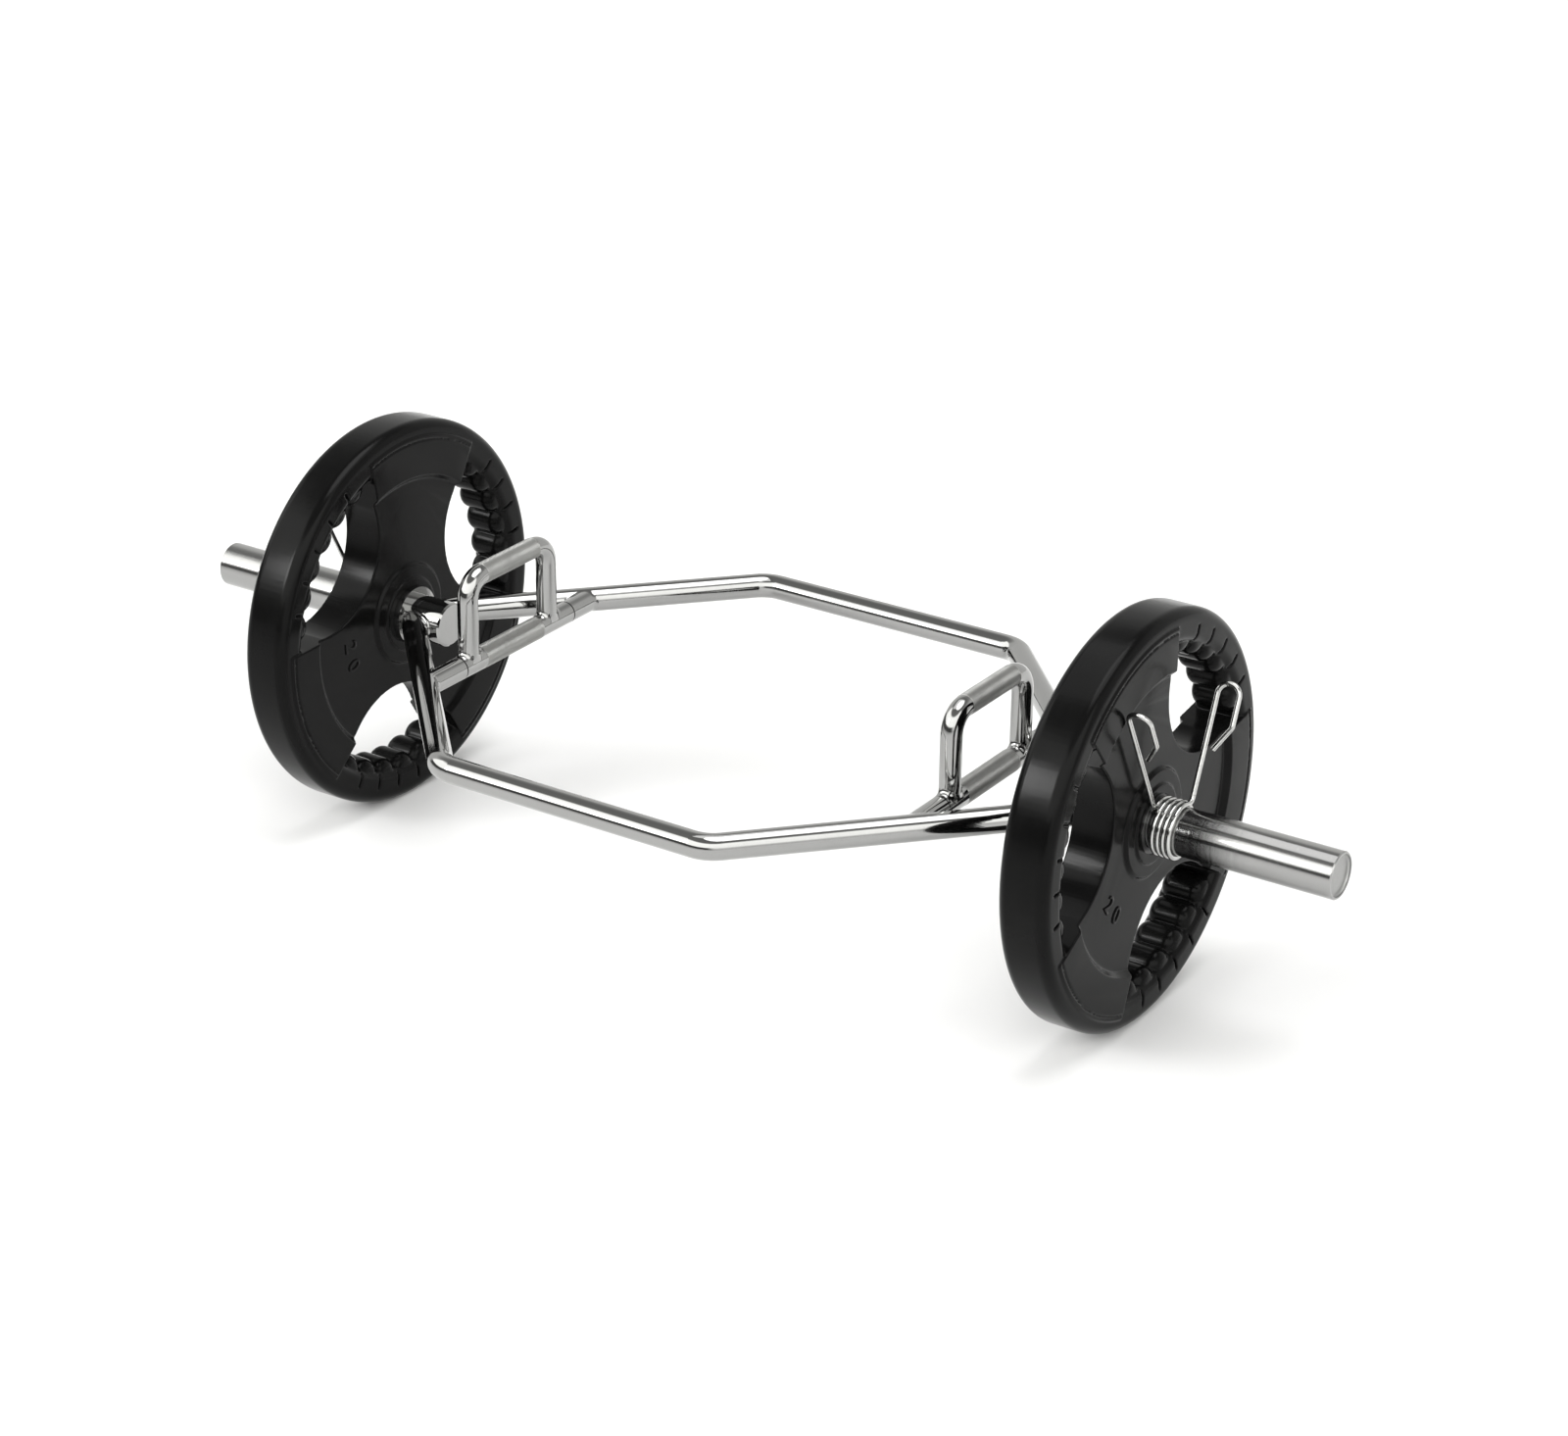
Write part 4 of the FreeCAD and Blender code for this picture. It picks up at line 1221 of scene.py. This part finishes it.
def cast_iron(colours):
    material, tree, shader, coords = new_material("cast_iron")
    if tree:
        grain = place_group(tree, grain_group(), coords, Scale=500.0, Mottle_Scale=30.0)
        tree.links.new(tint(tree, grain.outputs["Mottle"], colours.iron, shade(colours.iron, 1.6)),
                       shader.inputs["Base Color"])
        tree.links.new(spread(tree, grain.outputs["Mottle"], 0.3, 0.7, 0.55, 0.75), shader.inputs["Roughness"])
        shader.inputs["Metallic"].default_value = 0.6
        bump(tree, shader, grain.outputs["Height"], 0.4, 0.0005)
    return material


def lathe_rings(tree, shader, source, scale, strength):
    """Fine rings along a measure, as relief; gives their mask."""
    rings = node(tree, "ShaderNodeTexNoise", noise_dimensions="1D")
    rings.inputs["Scale"].default_value = scale
    tree.links.new(source, rings.inputs["W"])
    bump(tree, shader, rings.outputs["Fac"], strength, 0.0001)
    return rings.outputs["Fac"]


def turned_steel(name, colour, clean, smudged):
    """Lathe-turned steel: rings round the sleeves' axis in colour and relief."""
    material, tree, shader, coords = new_material(name)
    if tree:
        centre = node(tree, "ShaderNodeMapping", vector_type="POINT")
        centre.inputs["Location"].default_value = (0, 0, -AXIS_HEIGHT)
        tree.links.new(coords, centre.inputs["Vector"])
        flat = node(tree, "ShaderNodeVectorMath", operation="MULTIPLY")
        flat.inputs[1].default_value = (0, 1, 1)
        tree.links.new(centre.outputs["Vector"], flat.inputs[0])
        radius = node(tree, "ShaderNodeVectorMath", operation="LENGTH")
        tree.links.new(flat.outputs["Vector"], radius.inputs[0])
        rings = lathe_rings(tree, shader, radius.outputs["Value"], scale=1800.0, strength=0.12)
        handled(tree, shader, coords, 40.0, clean, smudged)
        tree.links.new(tint(tree, rings, shade(colour, 0.88), colour), shader.inputs["Base Color"])
    return material


def turned_plug(colours):
    return turned_steel("turned_plug", colours.plug, clean=0.42, smudged=0.55)


def turned_chrome(colours):
    """Plated sleeve over fine lathe rings, which draw reflections out along the bar."""
    material, tree, shader, coords = new_material("turned_chrome")
    if tree:
        split = node(tree, "ShaderNodeSeparateXYZ")
        tree.links.new(coords, split.inputs["Vector"])
        lathe_rings(tree, shader, split.outputs["X"], scale=4200.0, strength=0.22)
        mask = handled(tree, shader, coords, scale=14.0, clean=0.13, smudged=0.20)
        tree.links.new(tint(tree, mask, colours.chrome, shade(colours.chrome, 0.95)), shader.inputs["Base Color"])
    return material


def pale_floor(settings):
    """Pale studio floor, its colour painted a little dimmer far off on the side away from the lights: painted shade.
    """
    material, tree, shader, coords = new_material("pale_floor")
    depth = node(tree, "ShaderNodeVectorMath", operation="DOT_PRODUCT")
    depth.inputs[1].default_value = settings.floor_way
    tree.links.new(coords, depth.inputs[0])
    # Painted shade: past the lit edge the floor's colour fades to the darker far colour.
    edge = settings.floor_edge
    far = spread(tree, depth.outputs["Value"], edge, edge + settings.floor_fade, 0.0, 1.0)
    tree.links.new(tint(tree, far, settings.floor, settings.floor_far), shader.inputs["Base Color"])
    tree.links.new(spread(tree, noise(tree, coords, 0.6), 0.3, 0.7, 0.82, 0.9), shader.inputs["Roughness"])
    return material


class TRAPBAR_OT_finishes(bpy.types.Operator):
    """Give every carried-over piece its finish"""

    bl_idname = "trapbar.finishes"
    bl_label = "Finishes"

    def execute(self, context):
        colours = context.scene.trapbar_finish
        chrome = polished_chrome(colours)
        kinds = {
            "sleeve": turned_chrome(colours),
            "sleeve_plug": turned_plug(colours),
            "plate_bush": turned_steel("blackened_bush", colours.bush, clean=0.32, smudged=0.46),
            "plate_core": cast_iron(colours),
            "clip_inner_arm": spring_wire(colours),
            "clip_outer_arm": spring_wire(colours),
        }
        for name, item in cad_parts.items():
            kind = name.split("_", 1)[1]
            item.data.materials.clear()
            item.data.materials.append(kinds.get(kind, chrome))
        return {"FINISHED"}


def soft_box(name, place, size, power):
    """A soft box that faces down."""
    deselect()
    bpy.ops.object.light_add(type="AREA", location=place)
    light = newest(name)
    light.data.shape = "RECTANGLE"
    light.data.size = size[0]
    light.data.size_y = size[1]
    light.data.energy = power


def far_light(name, way, power, spread_angle):
    """A soft light far off in a direction."""
    deselect()
    bpy.ops.object.light_add(type="SUN", location=way)
    light = newest(name)
    light.data.energy = power
    light.data.angle = spread_angle
    light.rotation_euler = Vector(way).to_track_quat("Z", "Y").to_euler()


def level_ramp(tree, height, levels):
    """Brightness of a wall over the height of the direction."""
    ramp = node(tree, "ShaderNodeValToRGB")
    ramp.color_ramp.elements.remove(ramp.color_ramp.elements[1])
    for number, (at, level) in enumerate(levels):
        stop = ramp.color_ramp.elements[0] if number == 0 else ramp.color_ramp.elements.new(at)
        stop.position = at
        stop.color = (level, level, level * WALL_BLUE, 1)
    tree.links.new(height, ramp.inputs["Fac"])
    return ramp.outputs["Color"]


def studio_world():
    """Soft studio surround: a wide soft box in front, a pale wall behind and a dim ceiling."""
    world = bpy.data.worlds.new("studio_surround")
    bpy.context.scene.world = world
    world.use_nodes = True
    tree = world.node_tree
    coords = node(tree, "ShaderNodeTexCoord")
    split = node(tree, "ShaderNodeSeparateXYZ")
    tree.links.new(coords.outputs["Generated"], split.inputs["Vector"])
    front = node(tree, "ShaderNodeMix", data_type="RGBA")
    tree.links.new(spread(tree, split.outputs["X"], SIDE_START, SIDE_FULL, 0.0, 1.0), front.inputs["Factor"])
    tree.links.new(level_ramp(tree, split.outputs["Z"], FRONT_LEVELS), front.inputs["A"])
    tree.links.new(level_ramp(tree, split.outputs["Z"], SIDE_LEVELS), front.inputs["B"])
    walls = node(tree, "ShaderNodeMix", data_type="RGBA")
    tree.links.new(spread(tree, split.outputs["Y"], -BACK_BLEND, BACK_BLEND, 0.0, 1.0), walls.inputs["Factor"])
    tree.links.new(front.outputs["Result"], walls.inputs["A"])
    tree.links.new(level_ramp(tree, split.outputs["Z"], BACK_LEVELS), walls.inputs["B"])
    tree.links.new(walls.outputs["Result"], tree.nodes["Background"].inputs["Color"])


class TRAPBAR_OT_stage(bpy.types.Operator):
    """Lay the pale floor, set the lights and place the camera"""

    bl_idname = "trapbar.stage"
    bl_label = "Stage"

    def execute(self, context):
        settings = context.scene.trapbar_stage
        deselect()
        bpy.ops.mesh.primitive_plane_add(size=settings.floor_size)
        floor = newest("pale_floor")
        floor.data.materials.append(pale_floor(settings))
        studio_world()
        far_light("overhead", settings.overhead_way, settings.overhead_power, settings.overhead_spread)
        soft_box("soft_box", settings.box_place, settings.box_size, settings.box_power)
        far_light("key", settings.key_way, settings.key_power, settings.key_spread)
        right = Vector(settings.camera_right).normalized()
        ahead = Vector(settings.camera_ahead)
        ahead = (ahead - right * ahead.dot(right)).normalized()
        up = right.cross(ahead)
        deselect()
        bpy.ops.object.camera_add(location=settings.camera_place)
        camera = bpy.context.object
        turn = Matrix((right, up, -ahead)).transposed().to_4x4()
        camera.matrix_world = Matrix.Translation(settings.camera_place) @ turn
        camera.data.sensor_fit = "HORIZONTAL"
        camera.data.sensor_width = SENSOR_WIDTH
        camera.data.lens = settings.lens
        camera.data.clip_end = CAMERA_RANGE
        context.scene.camera = camera
        context.scene.view_settings.view_transform = "Standard"
        context.scene.view_settings.look = "None"
        return {"FINISHED"}


class TRAPBAR_PT_panel(bpy.types.Panel):
    """Steps that dress the bar"""

    bl_idname = "TRAPBAR_PT_panel"
    bl_label = "Hex Trap Bar"
    bl_space_type = "VIEW_3D"
    bl_region_type = "UI"
    bl_category = "Trap Bar"

    def draw(self, context):
        for step in STEPS:
            self.layout.operator(step.bl_idname)


STEPS = (TRAPBAR_OT_plates, TRAPBAR_OT_clips, TRAPBAR_OT_caps, TRAPBAR_OT_knurls, TRAPBAR_OT_welds,
         TRAPBAR_OT_seams, TRAPBAR_OT_finishes, TRAPBAR_OT_stage)
GROUPS = {
    "trapbar_plate": PlateSizes,
    "trapbar_clip": ClipSizes,
    "trapbar_grip": GripSizes,
    "trapbar_cap": CapSizes,
    "trapbar_finish": FinishColours,
    "trapbar_stage": StageSettings,
}


def register():
    for name, kind in GROUPS.items():
        bpy.utils.register_class(kind)
        setattr(bpy.types.Scene, name, PointerProperty(type=kind))
    for kind in (*STEPS, TRAPBAR_PT_panel):
        bpy.utils.register_class(kind)


def unregister():
    for kind in (TRAPBAR_PT_panel, *reversed(STEPS)):
        bpy.utils.unregister_class(kind)
    for name, kind in GROUPS.items():
        delattr(bpy.types.Scene, name)
        bpy.utils.unregister_class(kind)


def main():
    register()
    bpy.ops.trapbar.plates()
    bpy.ops.trapbar.clips()
    bpy.ops.trapbar.caps()
    bpy.ops.trapbar.knurls()
    bpy.ops.trapbar.welds()
    bpy.ops.trapbar.seams()
    bpy.ops.trapbar.finishes()
    bpy.ops.trapbar.stage()


if __name__ == "__main__":
    main()
